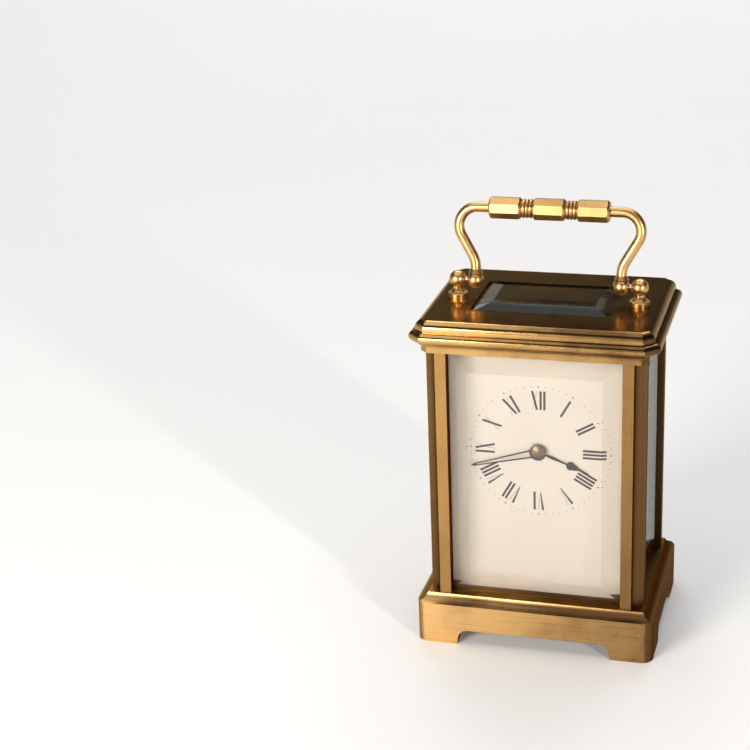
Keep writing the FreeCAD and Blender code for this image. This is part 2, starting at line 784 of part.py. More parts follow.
def arm_shape(side):
    """One arm: a ball on the pivot, a cone collar, and a round bar that leans out and curls over to
    the grip. The bar's straight lean is the line that touches both of its bends."""
    wire = number(S.arm_wire)
    start = Vector(number(arm_x), 0, number(S.arm_neck))
    low_bend, top_bend = number(S.arm_foot_bend), number(S.arm_top_bend)
    low_centre = start + Vector(low_bend, 0, 0)
    rise = number(S.grip_rise)
    top_centre = Vector(number(S.arm_spread) - top_bend, 0, rise - top_bend)
    span = top_centre - low_centre
    reach = math.hypot(span.x, span.z)
    lean = math.pi / 2 - math.atan2(span.z, span.x) + math.asin((low_bend + top_bend) / reach)

    def on(centre, radius, angle):
        return centre + Vector(radius * math.cos(angle), 0, radius * math.sin(angle))

    low_end = on(low_centre, low_bend, math.pi - lean)
    top_start = on(top_centre, top_bend, -lean)
    top_end = on(top_centre, top_bend, math.pi / 2)
    end = Vector(number(S.grip_length) / 2 - 1.5, 0, rise)
    path = Part.Wire(
        [
            Part.makeLine(Vector(start.x, 0, 0), start),
            Part.Arc(start, on(low_centre, low_bend, math.pi - lean / 2), low_end).toShape(),
            Part.makeLine(low_end, top_start),
            Part.Arc(top_start, on(top_centre, top_bend, math.pi / 4 - lean / 2), top_end).toShape(),
            Part.makeLine(top_end, end),
        ]
    )
    profile = Part.Wire(Part.makeCircle(wire, Vector(start.x, 0, 0), Vector(0, 0, 1)))
    bar = path.makePipeShell([profile], True, True)
    ball_radius = number(S.arm_ball)
    ball = Part.makeSphere(ball_radius, Vector(start.x, 0, 0))
    collar = Part.makeCone(wire + 0.75, wire + 0.05, 1.4, Vector(start.x, 0, ball_radius - 0.6))
    shape = bar.fuse([ball, collar])
    seat = Vector(start.x - ball_radius * 0.5, 0, 0)
    bore = Part.makeCylinder(number(S.pivot_pin), 6, seat, Vector(1, 0, 0))
    shape = shape.cut(bore).removeSplitter()
    return shape if side > 0 else shape.mirror(Vector(0, 0, 0), Vector(1, 0, 0))


def grip_shape():
    """The grip: three eight-sided lengths with chamfered ends, joined by beaded necks."""
    length, across = number(S.grip_length), number(S.grip_across)
    neck, neck_length = number(S.grip_neck), number(S.grip_neck_length)
    bead, slope = number(S.grip_bead), number(S.grip_chamfer)
    along = Vector(1, 0, 0)
    facet = (length - 2 * neck_length) / 3
    corner = across / 2 / math.cos(math.pi / 8)
    pieces = [Part.makeCylinder(neck, length - 2, Vector(1 - length / 2, 0, 0), along)]
    for k in range(3):
        left = -length / 2 + k * (facet + neck_length)
        turnings = [math.pi / 8 + j * math.pi / 4 for j in range(8)]
        ring = [Vector(left, corner * math.cos(a), corner * math.sin(a)) for a in turnings]
        prism = Part.Face(Part.makePolygon(ring + ring[:1])).extrude(Vector(facet, 0, 0))
        end_cone = Part.makeCone(corner - slope, corner, slope, Vector(left, 0, 0), along)
        tail = Vector(left + facet - slope, 0, 0)
        tail_cone = Part.makeCone(corner, corner - slope, slope, tail, along)
        middle = Part.makeCylinder(corner, facet - 2 * slope, Vector(left + slope, 0, 0), along)
        pieces.append(prism.common(end_cone.fuse([middle, tail_cone])))
        if k < 2:
            for spot in (0.2, 0.5, 0.8):
                centre = Vector(left + facet + neck_length * spot, 0, 0)
                pieces.append(Part.makeTorus(neck, bead, centre, along))
    grip = pieces[0].fuse(pieces[1:])
    wire = number(S.arm_wire)
    for side in (-1, 1):
        socket = Part.makeCylinder(wire, 4, Vector(side * (length / 2 - 1.5), 0, 0), Vector(side, 0, 0))
        grip = grip.cut(socket)
    grip = grip.removeSplitter()
    grip.translate(Vector(0, 0, number(S.grip_rise)))
    return grip


# Wheels. Teeth follow the involute of a 20 degree line of action, with straight radial roots.


def tooth_edge(teeth, module, addendum, thickness):
    """Half a tooth's flank, as (radius, half angle) from its root to its tip."""
    pitch = module * teeth / 2
    base = pitch * math.cos(math.radians(20))
    tip, rootline = pitch + addendum * module, pitch - 1.15 * module
    spread = math.tan(math.radians(20)) - math.radians(20)
    half = math.pi * thickness / teeth
    start = max(base, rootline)
    flank = [(rootline, half + spread)] if rootline < base else []
    for k in range(4):
        radius = start + (tip - start) * k / 3
        roll = math.sqrt(max((radius / base) ** 2 - 1, 0))
        flank.append((radius, half + spread - (roll - math.atan(roll))))
    return flank


def toothed_face(teeth, module, addendum=0.55, thickness=0.46, phase=0.0):
    """A toothed outline with a tooth centred at the phase angle."""
    flank = tooth_edge(teeth, module, addendum, thickness)
    points = []
    for k in range(teeth):
        middle = phase + 2 * math.pi * k / teeth
        for radius, half in flank:
            points.append(Vector(radius * math.cos(middle - half), radius * math.sin(middle - half), 0))
        for radius, half in reversed(flank):
            points.append(Vector(radius * math.cos(middle + half), radius * math.sin(middle + half), 0))
    return Part.Face(Part.makePolygon(points + points[:1]))


def disc(radius, low, high):
    return Part.makeCylinder(radius, high - low, Vector(0, 0, low))


def wheel_shape(teeth, module, low, high, phase, hub, bore, arms=4):
    """A crossed-out wheel: toothed rim, arms and hub."""
    face = toothed_face(teeth, module, phase=phase)
    wheel = face.extrude(Vector(0, 0, high - low))
    wheel.translate(Vector(0, 0, low))
    rim = module * teeth / 2 - 1.15 * module - 1.0
    if arms and rim - hub > 1.5:
        gap = disc(rim, low - 1, high + 1).cut(disc(hub, low - 2, high + 2))
        for k in range(arms):
            arm = Part.makeBox(rim + 1, 0.9, high - low + 4, Vector(0, -0.45, low - 2))
            arm.rotate(Vector(0, 0, 0), Vector(0, 0, 1), 360 * k / arms + 20)
            gap = gap.cut(arm)
        wheel = wheel.cut(gap)
    return wheel.cut(disc(bore, low - 1, high + 1)) if bore else wheel


def pinion_shape(teeth, module, low, high, phase):
    face = toothed_face(teeth, module, addendum=0.8, thickness=0.42, phase=phase)
    pinion = face.extrude(Vector(0, 0, high - low))
    pinion.translate(Vector(0, 0, low))
    return pinion


def mesh_phase(angle, phase, teeth, other_teeth):
    """The phase of a wheel that meshes with one at the given phase, towards the given angle."""
    pitch, other_pitch = 2 * math.pi / teeth, 2 * math.pi / other_teeth
    return angle + math.pi - other_pitch * (0.5 - (angle - phase) / pitch)


# Places of the arbors, seen from the front. Depths are given as height towards the front (-Y).

MODULES = {"great": 0.45, "intermediate": 0.45, "centre": 0.35, "third": 0.3, "contrate": 0.24}
TEETH = {"great": 80, "intermediate": 48, "centre": 64, "third": 60, "contrate": 70}
LEAVES = {"intermediate": 10, "centre": 10, "third": 8, "contrate": 8, "escape": 7}
CANNON, MINUTE_WHEEL, MINUTE_PINION, HOUR_WHEEL = 12, 36, 10, 40


def apart(wheel, pinion):
    """The distance between the arbors of a wheel and the pinion that it drives."""
    return MODULES[wheel] * (TEETH[wheel] + LEAVES[pinion]) / 2


def meet(first, second, reach_first, reach_second, side):
    """The point at two given distances from two points, on the given side of their line."""
    line = second - first
    length = line.Length
    along = (reach_first**2 - reach_second**2 + length**2) / (2 * length)
    off = math.sqrt(reach_first**2 - along**2)
    unit = line / length
    return first + unit * along + Vector(-unit.y, unit.x, 0) * off * side


def heading(start, end):
    return math.atan2(end.y - start.y, end.x - start.x)


BARREL = Vector(0, number(S.barrel_height), 0)
CENTRE = Vector(0, number(S.centre_height), 0)
CONTRATE = Vector(0, number(S.contrate_height), 0)
INTERMEDIATE = meet(BARREL, CENTRE, apart("great", "intermediate"), apart("intermediate", "centre"), 1)
THIRD = meet(CENTRE, CONTRATE, apart("centre", "third"), apart("third", "contrate"), -1)

front_face = -S.front_plate_face
front_inner = front_face - S.plate_thick
back_face = -S.back_plate_face
back_inner = back_face + S.plate_thick


def at_arbor(node, shape, spot):
    """A piece made about an arbor's axis, put at the arbor's place."""
    return keep(node, made(node, shape, spot.x, set_back, spot.y, FRONT))


def arbor_shape():
    """An arbor between the plates, with a pivot at each end."""
    radius = number(S.arbor_radius)
    pivot = number(S.pivot_radius)
    low, high = number(back_inner) + 0.3, number(front_inner) - 0.3
    ends = number(back_face) + 0.1, number(front_face) - 0.1
    return disc(radius, low, high).fuse(disc(pivot, *ends))


def train_phases():
    """The turn of each wheel, and of each pinion set so its leaves lie in the wheel's gaps."""
    phases = {"great": 0.2, "intermediate": 0.1, "centre": 0.05, "third": 0.0}
    mates = [
        ("great", BARREL, "intermediate", INTERMEDIATE),
        ("intermediate", INTERMEDIATE, "centre", CENTRE),
        ("centre", CENTRE, "third", THIRD),
        ("third", THIRD, "contrate", CONTRATE),
    ]
    for driver, start, follower, end in mates:
        turn_of = mesh_phase(heading(start, end), phases[driver], TEETH[driver], LEAVES[follower])
        phases[f"{follower}_pinion"] = turn_of
    return phases


def train_wheel(name, low, high, hub, bore):
    return wheel_shape(TEETH[name], MODULES[name], low, high, train_phases()[name], hub, bore)


def train_pinion(name, driver, low, high):
    """A pinion cut to the module of the wheel that drives it."""
    return pinion_shape(LEAVES[name], MODULES[driver], low, high, train_phases()[f"{name}_pinion"])


def make_train():
    phases = train_phases()

    # the going barrel: great wheel, drum and cover about a plain arbor
    radius, wall = number(S.barrel_radius), number(S.barrel_wall)
    arbor = 2.0
    great = toothed_face(TEETH["great"], MODULES["great"], phase=phases["great"]).extrude(Vector(0, 0, 2.5))
    great.translate(Vector(0, 0, 7.5))
    length = number(S.barrel_length)
    drum = disc(radius, 7.5 - length, 7.6)
    hollow = disc(radius - wall, 7.5 - length - 1, 7.5)
    barrel = great.fuse(drum).cut(hollow).cut(disc(arbor + 0.05, -20, 20)).removeSplitter()
    at_arbor("spring_barrel", barrel, BARREL)
    cover = disc(radius - wall, 7.5 - length, 8.7 - length).cut(disc(arbor + 0.05, -20, 20))
    at_arbor("barrel_cover", cover, BARREL)
    at_arbor("mainspring", coil(4.6, radius - wall - 1.0, 9, 0.35, 9.4 - length, 6.6), BARREL)
    low, high = number(back_face), number(front_face)
    square = Part.makeBox(2.6, 2.6, 4.6, Vector(-1.3, -1.3, low - 4.8))
    body = disc(arbor, number(back_inner) + 0.3, number(front_inner) - 0.3)
    hub = disc(3.6, 9.6 - length, 6.4)
    body = body.fuse([hub, disc(1.6, low - 0.25, high - 0.1), square]).removeSplitter()
    at_arbor("barrel_arbor", body, BARREL)

    # each later arbor: its wheel, and its pinion cut on the arbor
    wheel = train_wheel("intermediate", -11.2, -10.0, 2.4, 0)
    pinion = train_pinion("intermediate", "great", 6.9, 10.6)
    at_arbor("intermediate_wheel", wheel.fuse([pinion, arbor_shape()]).removeSplitter(), INTERMEDIATE)

    at_arbor("centre_wheel", train_wheel("centre", 1.8, 3.0, 2.6, arbor), CENTRE)
    pinion = train_pinion("centre", "intermediate", -12.0, -9.2)
    shaft = disc(0.6, low - 4.2, number(-S.dial_face) + 0.9)
    square = Part.makeBox(1.8, 1.8, 2.8, Vector(-0.9, -0.9, low - 4.6))
    thick = disc(number(S.arbor_radius), number(back_inner) + 0.3, number(front_inner) - 0.3)
    at_arbor("centre_arbor", thick.fuse([shaft, pinion, square]).removeSplitter(), CENTRE)

    wheel = train_wheel("third", -5.0, -4.0, 2.0, 0)
    pinion = train_pinion("third", "centre", 1.2, 4.0)
    at_arbor("third_wheel", wheel.fuse([pinion, arbor_shape()]).removeSplitter(), THIRD)

    plate = disc(contrate_radius + 0.5, contrate_back, contrate_back + 0.8)
    gap = disc(contrate_radius - 1.4, -20, 20).cut(disc(1.9, -21, 21))
    for k in range(4):
        arm = Part.makeBox(contrate_radius, 0.9, 60, Vector(0, -0.45, -30))
        arm.rotate(Vector(0, 0, 0), Vector(0, 0, 1), 90 * k + 45)
        gap = gap.cut(arm)
    plate = plate.cut(gap)
    pitch = 2 * math.pi / TEETH["contrate"]
    tooth_low, tooth_high = contrate_back + 0.7, contrate_back + 1.25
    width = contrate_radius * pitch * 0.36
    teeth = []
    for k in range(TEETH["contrate"]):
        corner = Vector(contrate_radius - 0.5, -width / 2, tooth_low)
        tooth = Part.makeBox(1.0, width, tooth_high - tooth_low, corner)
        tooth.rotate(Vector(0, 0, 0), Vector(0, 0, 1), math.degrees(math.pi / 2 + k * pitch))
        teeth.append(tooth)
    pinion = train_pinion("contrate", "third", -6.0, -3.2)
    shape = plate.fuse(teeth).fuse([pinion, arbor_shape()]).removeSplitter()
    at_arbor("contrate_wheel", shape, CONTRATE)

    # ratchet wheel on the back plate, with its click and click spring
    ratchet_low = low - 1.5
    points = []
    for k in range(RATCHET_TEETH):
        angle = 2 * math.pi * k / RATCHET_TEETH
        points.append(Vector(7.4 * math.cos(angle), 7.4 * math.sin(angle), ratchet_low))
        points.append(Vector(6.5 * math.cos(angle + 0.02), 6.5 * math.sin(angle + 0.02), ratchet_low))
    ratchet = Part.Face(Part.makePolygon(points + points[:1])).extrude(Vector(0, 0, 1.2))
    ratchet = ratchet.cut(Part.makeBox(2.7, 2.7, 60, Vector(-1.35, -1.35, -30)))
    at_arbor("ratchet_wheel", ratchet, BARREL)


RATCHET_TEETH = 24
contrate_radius = MODULES["contrate"] * TEETH["contrate"] / 2
contrate_back = 5.0


def coil(inner, outer, turns, strip, low, high):
    """A flat spiral strip about the axis, of half circles that grow by an even step."""
    step = (outer - inner) / (2 * turns)
    edges, back = [], []
    for offset, store in ((-strip / 2, edges), (strip / 2, back)):
        radius, centre, side = inner, 0.0, 1
        for _ in range(2 * turns):
            start = Vector(centre + side * (radius + offset), 0, 0)
            middle = Vector(centre, side * (radius + offset), 0)
            end = Vector(centre - side * (radius + offset), 0, 0)
            store.append(Part.Arc(start, middle, end).toShape())
            centre += side * step
            radius += step
            side = -side
    first = Part.makeLine(edges[0].Vertexes[0].Point, back[0].Vertexes[0].Point)
    last_in, last_out = edges[-1].Vertexes[-1].Point, back[-1].Vertexes[-1].Point
    wire = Part.Wire(Part.__sortEdges__(edges + back + [first, Part.makeLine(last_in, last_out)]))
    strip_face = Part.Face(wire)
    body = strip_face.extrude(Vector(0, 0, high - low))
    body.translate(Vector(0, 0, low))
    return body


def make_motion_work():
    far = MODULES_MOTION * (CANNON + MINUTE_WHEEL) / 2
    stud = CENTRE + Vector(0, -far, 0)
    small = 2 * far / (MINUTE_PINION + HOUR_WHEEL)
    cannon_phase = 0.0
    minute_phase = mesh_phase(heading(CENTRE, stud), cannon_phase, CANNON, MINUTE_WHEEL)
    hour_phase = mesh_phase(heading(stud, CENTRE), minute_phase, MINUTE_PINION, HOUR_WHEEL)
    face = number(front_face)
    dial_front = number(-S.dial_face)
    minute_back = dial_front + 1.1
    pipe = disc(1.0, face + 0.4, minute_back).fuse(
        pinion_shape(CANNON, MODULES_MOTION, face + 0.4, face + 1.7, cannon_phase))
    at_arbor("cannon_pinion", pipe.cut(disc(0.65, 0, 60)).removeSplitter(), CENTRE)
    wheel = wheel_shape(MINUTE_WHEEL, MODULES_MOTION, face + 0.6, face + 1.4, minute_phase, 1.9, 0)
    pinion = pinion_shape(MINUTE_PINION, small, face + 1.3, face + 3.0, minute_phase)
    post = MINUTE_POST + number(S.pivot_play)
    at_arbor("minute_wheel", wheel.fuse(pinion).cut(disc(post, 0, 60)).removeSplitter(), stud)
    wheel = wheel_shape(HOUR_WHEEL, small, face + 2.0, face + 2.8, hour_phase, 2.4, 0)
    pipe = disc(1.6, face + 2.0, dial_front + 0.35)
    at_arbor("hour_wheel", wheel.fuse(pipe).cut(disc(1.06, 0, 60)).removeSplitter(), CENTRE)
    return stud


MODULES_MOTION = 0.36
MINUTE_POST = 0.7


def hand_arms(reach, inner, outer, tip):
    """Two bars that close to a point: the outline of a slotted hand, with its slot."""
    near, narrow, closed = 0.2, reach - HAND_POINT, reach - HAND_POINT * 1.6
    gap = tip * 0.4
    body = [Vector(near, -outer, 0), Vector(narrow, -tip, 0), Vector(reach, 0, 0)]
    body += [Vector(narrow, tip, 0), Vector(near, outer, 0)]
    slot = [Vector(near, -inner, 0), Vector(closed, -gap, 0)]
    slot += [Vector(closed, gap, 0), Vector(near, inner, 0)]
    face = Part.Face(Part.makePolygon(body + body[:1]))
    return face.cut(Part.Face(Part.makePolygon(slot + slot[:1])))


def make_hands():
    dial_front = number(-S.dial_face)
    hour_low = dial_front + 0.35
    minute_low = dial_front + 1.1
    thick = 0.4
    minute = hand_arms(number(S.minute_reach), 1.1, 1.55, 0.45).extrude(Vector(0, 0, thick))
    minute = minute.fuse(disc(number(S.hand_boss), 0, thick)).cut(disc(0.65, -1, 2))
    minute.translate(Vector(0, 0, minute_low))
    minute.rotate(Vector(0, 0, 0), Vector(0, 0, 1), 90 - MINUTE_ANGLE)
    at_arbor("minute_hand", minute, CENTRE)
    reach = number(S.hour_reach)
    stem = [(0.0, 0.3), (3.0, 0.28), (5.2, 0.5), (7.6, 0.26), (11.2, 0.2)]
    drop_end, drop_radius = 13.2, 1.5
    right = [Vector(x, half, 0) for x, half in stem]
    left = [Vector(x, -half, 0) for x, half in reversed(stem)]
    hand = Part.Face(Part.makePolygon(right + left + right[:1]))
    bulb = Part.Face(Part.Wire(Part.makeCircle(drop_radius, Vector(drop_end - 1.2, 0, 0))))
    shoulder, waist = drop_end - 0.6, drop_end + 2.0
    point = [Vector(shoulder, drop_radius * 0.85, 0), Vector(waist, 0.34, 0), Vector(reach, 0, 0)]
    point += [Vector(waist, -0.34, 0), Vector(shoulder, -drop_radius * 0.85, 0)]
    tip = Part.Face(Part.makePolygon(point + point[:1]))
    solids = [piece.extrude(Vector(0, 0, thick)) for piece in (hand, bulb, tip)]
    hour = solids[0].fuse(solids[1:] + [disc(2.4, 0, thick)]).cut(disc(1.06, -1, 2)).removeSplitter()
    hour.translate(Vector(0, 0, hour_low))
    hour.rotate(Vector(0, 0, 0), Vector(0, 0, 1), 90 - HOUR_ANGLE)
    at_arbor("hour_hand", hour, CENTRE)
    rise, reach = 0.9, number(S.hand_boss) - 0.15
    dome_radius = (reach**2 + rise**2) / (2 * rise)
    dome = Part.makeSphere(dome_radius, Vector(0, 0, rise - dome_radius)).common(disc(reach, 0, 2))
    dome.translate(Vector(0, 0, minute_low + thick))
    at_arbor("hand_collet", dome, CENTRE)


HAND_POINT = 1.3
HOUR_ANGLE = 111.7
MINUTE_ANGLE = 254.5


def make_movement_frame(stud):
    half, top = S.plate_width / 2, S.plate_top
    low_z = S.platform_top
    pivots = {
        "barrel": (BARREL, 1.6),
        "intermediate": (INTERMEDIATE, number(S.pivot_radius)),
        "centre": (CENTRE, 0.6),
        "third": (THIRD, number(S.pivot_radius)),
        "contrate": (CONTRATE, number(S.pivot_radius)),
    }
    post_spots = [(side * post_half, height) for height in (low_post, high_post) for side in (-1, 1)]
    for node, face in (("front_plate", front_face), ("back_plate", back_inner)):
        plate = extrude(node, [rectangle(-half, low_z, half, top)], face - S.plate_thick, face)
        holes = [circle(spot.x, spot.y, radius + number(S.pivot_play)) for spot, radius in pivots.values()]
        holes += [circle(x, z, S.screw_radius) for x, z in post_spots]
        if node == "back_plate":
            holes.append(circle(CLICK_PIVOT.x, CLICK_PIVOT.y, CLICK_SCREW))
        pocket(plate, f"{node}_holes", holes, face - S.plate_thick, face)
        keep(node, place(plate, 0, set_back, 0, FRONT))
    posts, screws = [], []
    for i, (x, z) in enumerate(post_spots):
        post = turn(f"plate_post_{i}", rectangle(0, back_inner, S.plate_post, front_inner))
        posts.append(place(post, x, set_back, z, FRONT))
    keep("plate_posts", combine("Compound", "plate_posts", posts))
    for i, (x, z) in enumerate(post_spots):
        for end, y, turned in (("front", S.front_plate_face, -90), ("back", S.back_plate_face, 90)):
            facing = Rotation(Vector(1, 0, 0), turned)
            name = f"plate_screw_{end}_{i}"
            screws.append(screw(name, x, y + set_back, z, S.plate_thick, facing))
    keep("plate_screws", combine("Compound", "plate_screws", screws))
    blocks = []
    side = S.block_side / 2
    for hand, sign in (("left", -1), ("right", 1)):
        middle = block_x * sign
        block = box(
            f"seat_block_{hand}",
            middle - side,
            middle + side,
            set_back - front_inner,
            set_back - back_inner,
            low_z,
            low_z + S.block_side,
        )
        holes = [circle(middle, set_back + y, S.screw_radius) for y in (block_y, -block_y)]
        pocket(block, f"seat_block_{hand}_holes", holes, low_z, low_z + S.block_side - 1)
        blocks.append(block)
    keep("seat_blocks", combine("Compound", "seat_blocks", blocks))
    stud_pin = disc(MINUTE_POST, number(front_face), number(front_face) + 3.2)
    at_arbor("minute_wheel_stud", stud_pin, stud)


post_half = S.plate_width / 2 - S.plate_post_inset
low_post = S.platform_top + S.block_side + S.plate_post + 1
high_post = S.plate_top - S.plate_post_inset


def make_dial():
    gap = S.dial_gap
    face = -S.dial_face
    half = glass_back_x - gap * 2
    low, high = S.platform_top + gap, cornice_foot - gap
    dial = extrude("dial", [rectangle(-half, low, half, high)], face - S.dial_thick, face)
    spots = [(-foot_x, foot_low), (foot_x, foot_low), (-foot_x, foot_high), (foot_x, foot_high)]
    feet = [circle(x, z, 1.2) for x, z in spots]
    extrude("dial_feet", feet, front_face, face - S.dial_thick + 0.2, body=dial)
    pocket(dial, "dial_centre", [circle(0, centre_z, S.dial_hole)], face - S.dial_thick, face)
    keep("dial", place(dial, 0, set_back, 0, FRONT))


foot_x = S.plate_width / 2 - S.plate_post_inset * 2.4
foot_low = S.platform_top + S.plate_post_inset * 2.2
foot_high = S.plate_top - S.plate_post_inset


CLICK_TOOTH = 9
CLICK_PIVOT = BARREL + Vector(-10.8, 2.2, 0)
CLICK_SCREW = 0.9


def make_click():
    """The click on the back plate: its nose lies in a gap of the ratchet wheel."""
    low = number(back_face)
    angle = 2 * math.pi * CLICK_TOOTH / RATCHET_TEETH + 0.06
    nose = BARREL + Vector(math.cos(angle), math.sin(angle), 0) * 6.95
    along = nose - CLICK_PIVOT
    across = Vector(-along.y, along.x, 0) / along.Length
    level = Vector(0, 0, low - 1.5)
    points = [CLICK_PIVOT + across * 1.6, nose + across * 0.2]
    points += [nose - across * 0.1, CLICK_PIVOT - across * 0.7]
    click = Part.Face(Part.makePolygon([p + level for p in points + points[:1]])).extrude(Vector(0, 0, 1.2))
    eye = Part.makeCylinder(1.9, 1.2, CLICK_PIVOT + level)
    bore = Part.makeCylinder(CLICK_SCREW + number(S.clearance), 10, CLICK_PIVOT + Vector(0, 0, low - 5))
    click = click.fuse(eye).cut(bore).removeSplitter()
    keep("click", made("click", click, 0, set_back, 0, FRONT))
    screw_low = low - 1.6
    shank = Part.makeCylinder(CLICK_SCREW, 3.2, CLICK_PIVOT + Vector(0, 0, screw_low))
    head = Part.makeCylinder(1.7, 0.8, CLICK_PIVOT + Vector(0, 0, screw_low - 0.8))
    slot = Part.makeBox(4, 0.4, 0.4, CLICK_PIVOT + Vector(-2, -0.2, screw_low - 0.8))
    keep("click_screw", made("click_screw", head.fuse(shank).cut(slot), 0, set_back, 0, FRONT))


def make_platform():
    low, thick = S.plate_top, S.platform_thick
    top = low + thick
    half = S.platform_width / 2
    y0, y1 = S.front_plate_face + set_back, S.back_plate_face + set_back
    platform = box("platform", -half, half, y0, y1, low, top)
    pivot_bore = 0.45 + number(S.pivot_play)
    for word, y in (("escape", escape_y), ("lever", lever_y), ("balance", balance_y)):
        pocket(platform, f"platform_{word}", [circle(0, y, pivot_bore)], low, top)
    keep("platform", platform)
    z = number(top)

    escape = Part.Face(star(15, number(S.escape_radius), 0.72)).extrude(Vector(0, 0, 0.4))
    escape = escape.cut(disc(2.5, -1, 2).cut(disc(1.0, -2, 3)).cut(cross(2.8, 0.6)))
    escape.translate(Vector(0, 0, z + 0.9))
    leaf_low = number(S.contrate_height) + contrate_radius - 0.9
    phase = math.pi / 2 + math.pi / LEAVES["escape"]
    pinion = pinion_shape(LEAVES["escape"], MODULES["contrate"], leaf_low, leaf_low + 1.8, phase)
    staff = disc(0.45, leaf_low - 0.6, z + 2.2).fuse(disc(0.8, z + 0.4, z + 1.5))
    shape = escape.fuse([pinion, staff]).removeSplitter()
    keep("escape_wheel", made("escape_wheel", shape, 0, escape_y, 0))

    reach = number(lever_y) - number(escape_y)
    tip = number(S.escape_radius) + 0.15
    pallets = []
    for side in (-1, 1):
        pallets.append(Vector(side * 2.5, math.sqrt(tip**2 - 2.5**2) - reach, 0))
    entry, leave = pallets
    fork = [(-0.8, 0.6), (-0.3, 3.0), (-0.7, 3.6), (-0.2, 3.4), (0, 3.1)]
    fork += [(0.2, 3.4), (0.7, 3.6), (0.3, 3.0), (0.8, 0.6)]
    outline = [entry, entry + Vector(-0.5, 0.5, 0)]
    outline += [Vector(x, y, 0) for x, y in fork]
    outline += [leave + Vector(0.5, 0.5, 0), leave]
    outline += [Vector(1.2, -0.5, 0), Vector(0, -0.4, 0), Vector(-1.2, -0.5, 0)]
    lever = Part.Face(Part.makePolygon(outline + outline[:1])).extrude(Vector(0, 0, 0.5))
    lever.translate(Vector(0, 0, z + 0.85))
    lever = lever.fuse(disc(0.45, z - 1.4, z + 2.2)).removeSplitter()
    keep("lever", made("lever", lever, 0, lever_y, 0))

    bridge_low = top + 2.0
    bridge_top = bridge_low + 0.8
    front, rear = escape_y - 2.0, lever_y + 1.4
    screw_y = (escape_y + lever_y) / 2
    deck = box("escapement_bridge_deck", -9, 9, front, rear, bridge_low, bridge_top)
    feet, holes = [], []
    for word, y in (("escape", escape_y), ("lever", lever_y)):
        bore = rod(f"bridge_{word}_bore", pivot_bore, bridge_low - 1, bridge_low + 3)
        holes.append(place(bore, 0, y))
    for side in (-1, 1):
        left, right = side * 9 - 1.5, side * 9 + 1.5
        feet.append(box(f"escapement_bridge_foot_{side}", left, right, front, rear, top, bridge_top))
        bore = rod(f"bridge_screw_bore_{side}", 0.6, top - 1, bridge_low + 3)
        holes.append(place(bore, side * 9, screw_y))
    bridge = combine("MultiFuse", "escapement_bridge_solid", [deck] + feet)
    keep("escapement_bridge", cut("escapement_bridge", bridge, *holes))

    rim_low = z + 3.4
    radius = number(S.balance_radius)
    rim = disc(radius, rim_low, rim_low + 1.0).cut(disc(radius - 0.8, rim_low - 1, rim_low + 2))
    bar = Part.makeBox(2 * radius - 1, 0.8, 0.7, Vector(0.5 - radius, -0.4, rim_low + 0.15))
    screws = []
    for k in range(12):
        spot = Part.makeCylinder(0.35, 0.45, Vector(radius - 0.1, 0, rim_low + 0.5), Vector(1, 0, 0))
        spot.rotate(Vector(0, 0, 0), Vector(0, 0, 1), 15 + 30 * k)
        screws.append(spot)
    balance = rim.fuse([bar, disc(1.1, rim_low, rim_low + 1.0)] + screws)
    balance = balance.cut(disc(0.5, rim_low - 2, rim_low + 3)).removeSplitter()
    keep("balance_wheel", made("balance_wheel", balance, 0, balance_y, 0))
    staff = disc(0.45, z - 1.4, z + 6.9).fuse([disc(0.5, z + 0.4, z + 5.9), disc(1.1, z + 1.5, z + 1.9)])
    keep("balance_staff", made("balance_staff", staff.removeSplitter(), 0, balance_y, 0))
    spring = coil(1.0, 3.6, 5, 0.12, z + 4.9, z + 5.3)
    keep("balance_spring", made("balance_spring", spring, 0, balance_y, 0))

    cock_low = top + 6.0
    back = balance_y + S.balance_radius + 1.0
    arm = box("balance_cock_arm", -2.2, 2.2, balance_y - 1.6, back + 3, cock_low, cock_low + 1.1)
    foot = box("balance_cock_foot", -4.5, 4.5, back, back + 3, top, cock_low + 1.1)
    jewel = place(rod("balance_cock_bore", pivot_bore, cock_low - 1, cock_low + 3), 0, balance_y)
    bores = []
    for side in (-1, 1):
        bore = rod(f"cock_screw_bore_{side}", 0.6, top - 1, cock_low + 3)
        bores.append(place(bore, side * 3.2, back + 1.5))
    solid = combine("MultiFuse", "balance_cock_solid", [arm, foot])
    keep("balance_cock", cut("balance_cock", solid, jewel, *bores))

    screws = []
    spots = [(side * 9, screw_y, bridge_top) for side in (-1, 1)]
    spots += [(side * 3.2, back + 1.5, cock_low + 1.1) for side in (-1, 1)]
    for i, (x, y, height) in enumerate(spots):
        tip = top + 0.1 - height
        outline = [(0, tip), (0.6, tip), (0.6, 0), (1.2, 0), (1.2, 0.7), (0, 0.7)]
        screws.append(place(turn(f"bridge_screw_{i}", outline), x, y, height))
    inset_x, inset_y = 3.0, 1.0
    rows, columns = (y0 + inset_y, y1 - inset_y), (inset_x - half, half - inset_x)
    for i, (x, y) in enumerate((x, y) for y in rows for x in columns):
        outline = rectangle(0, 0, 0.95, 0.8)
        screws.append(place(turn(f"platform_screw_{i}", outline), x, y, top))
    keep("platform_screws", combine("Compound", "platform_screws", screws))


escape_y = set_back - (contrate_back + 1.15 + MODULES["contrate"] * LEAVES["escape"] / 2)
lever_y = escape_y + S.escape_radius + 1.6
balance_y = lever_y + 4.9


def star(points, radius, depth):
    """Pointed teeth that lean forward, as a closed wire."""
    corners = []
    for k in range(points):
        angle = 2 * math.pi * k / points
        lean = 0.1
        for r, a in ((radius - depth, angle - 0.12), (radius, angle + lean), (radius, angle + lean + 0.05),
                     (radius - depth, angle + 0.12)):
            corners.append(Vector(r * math.cos(a), r * math.sin(a), 0))
    return Part.makePolygon(corners + corners[:1])


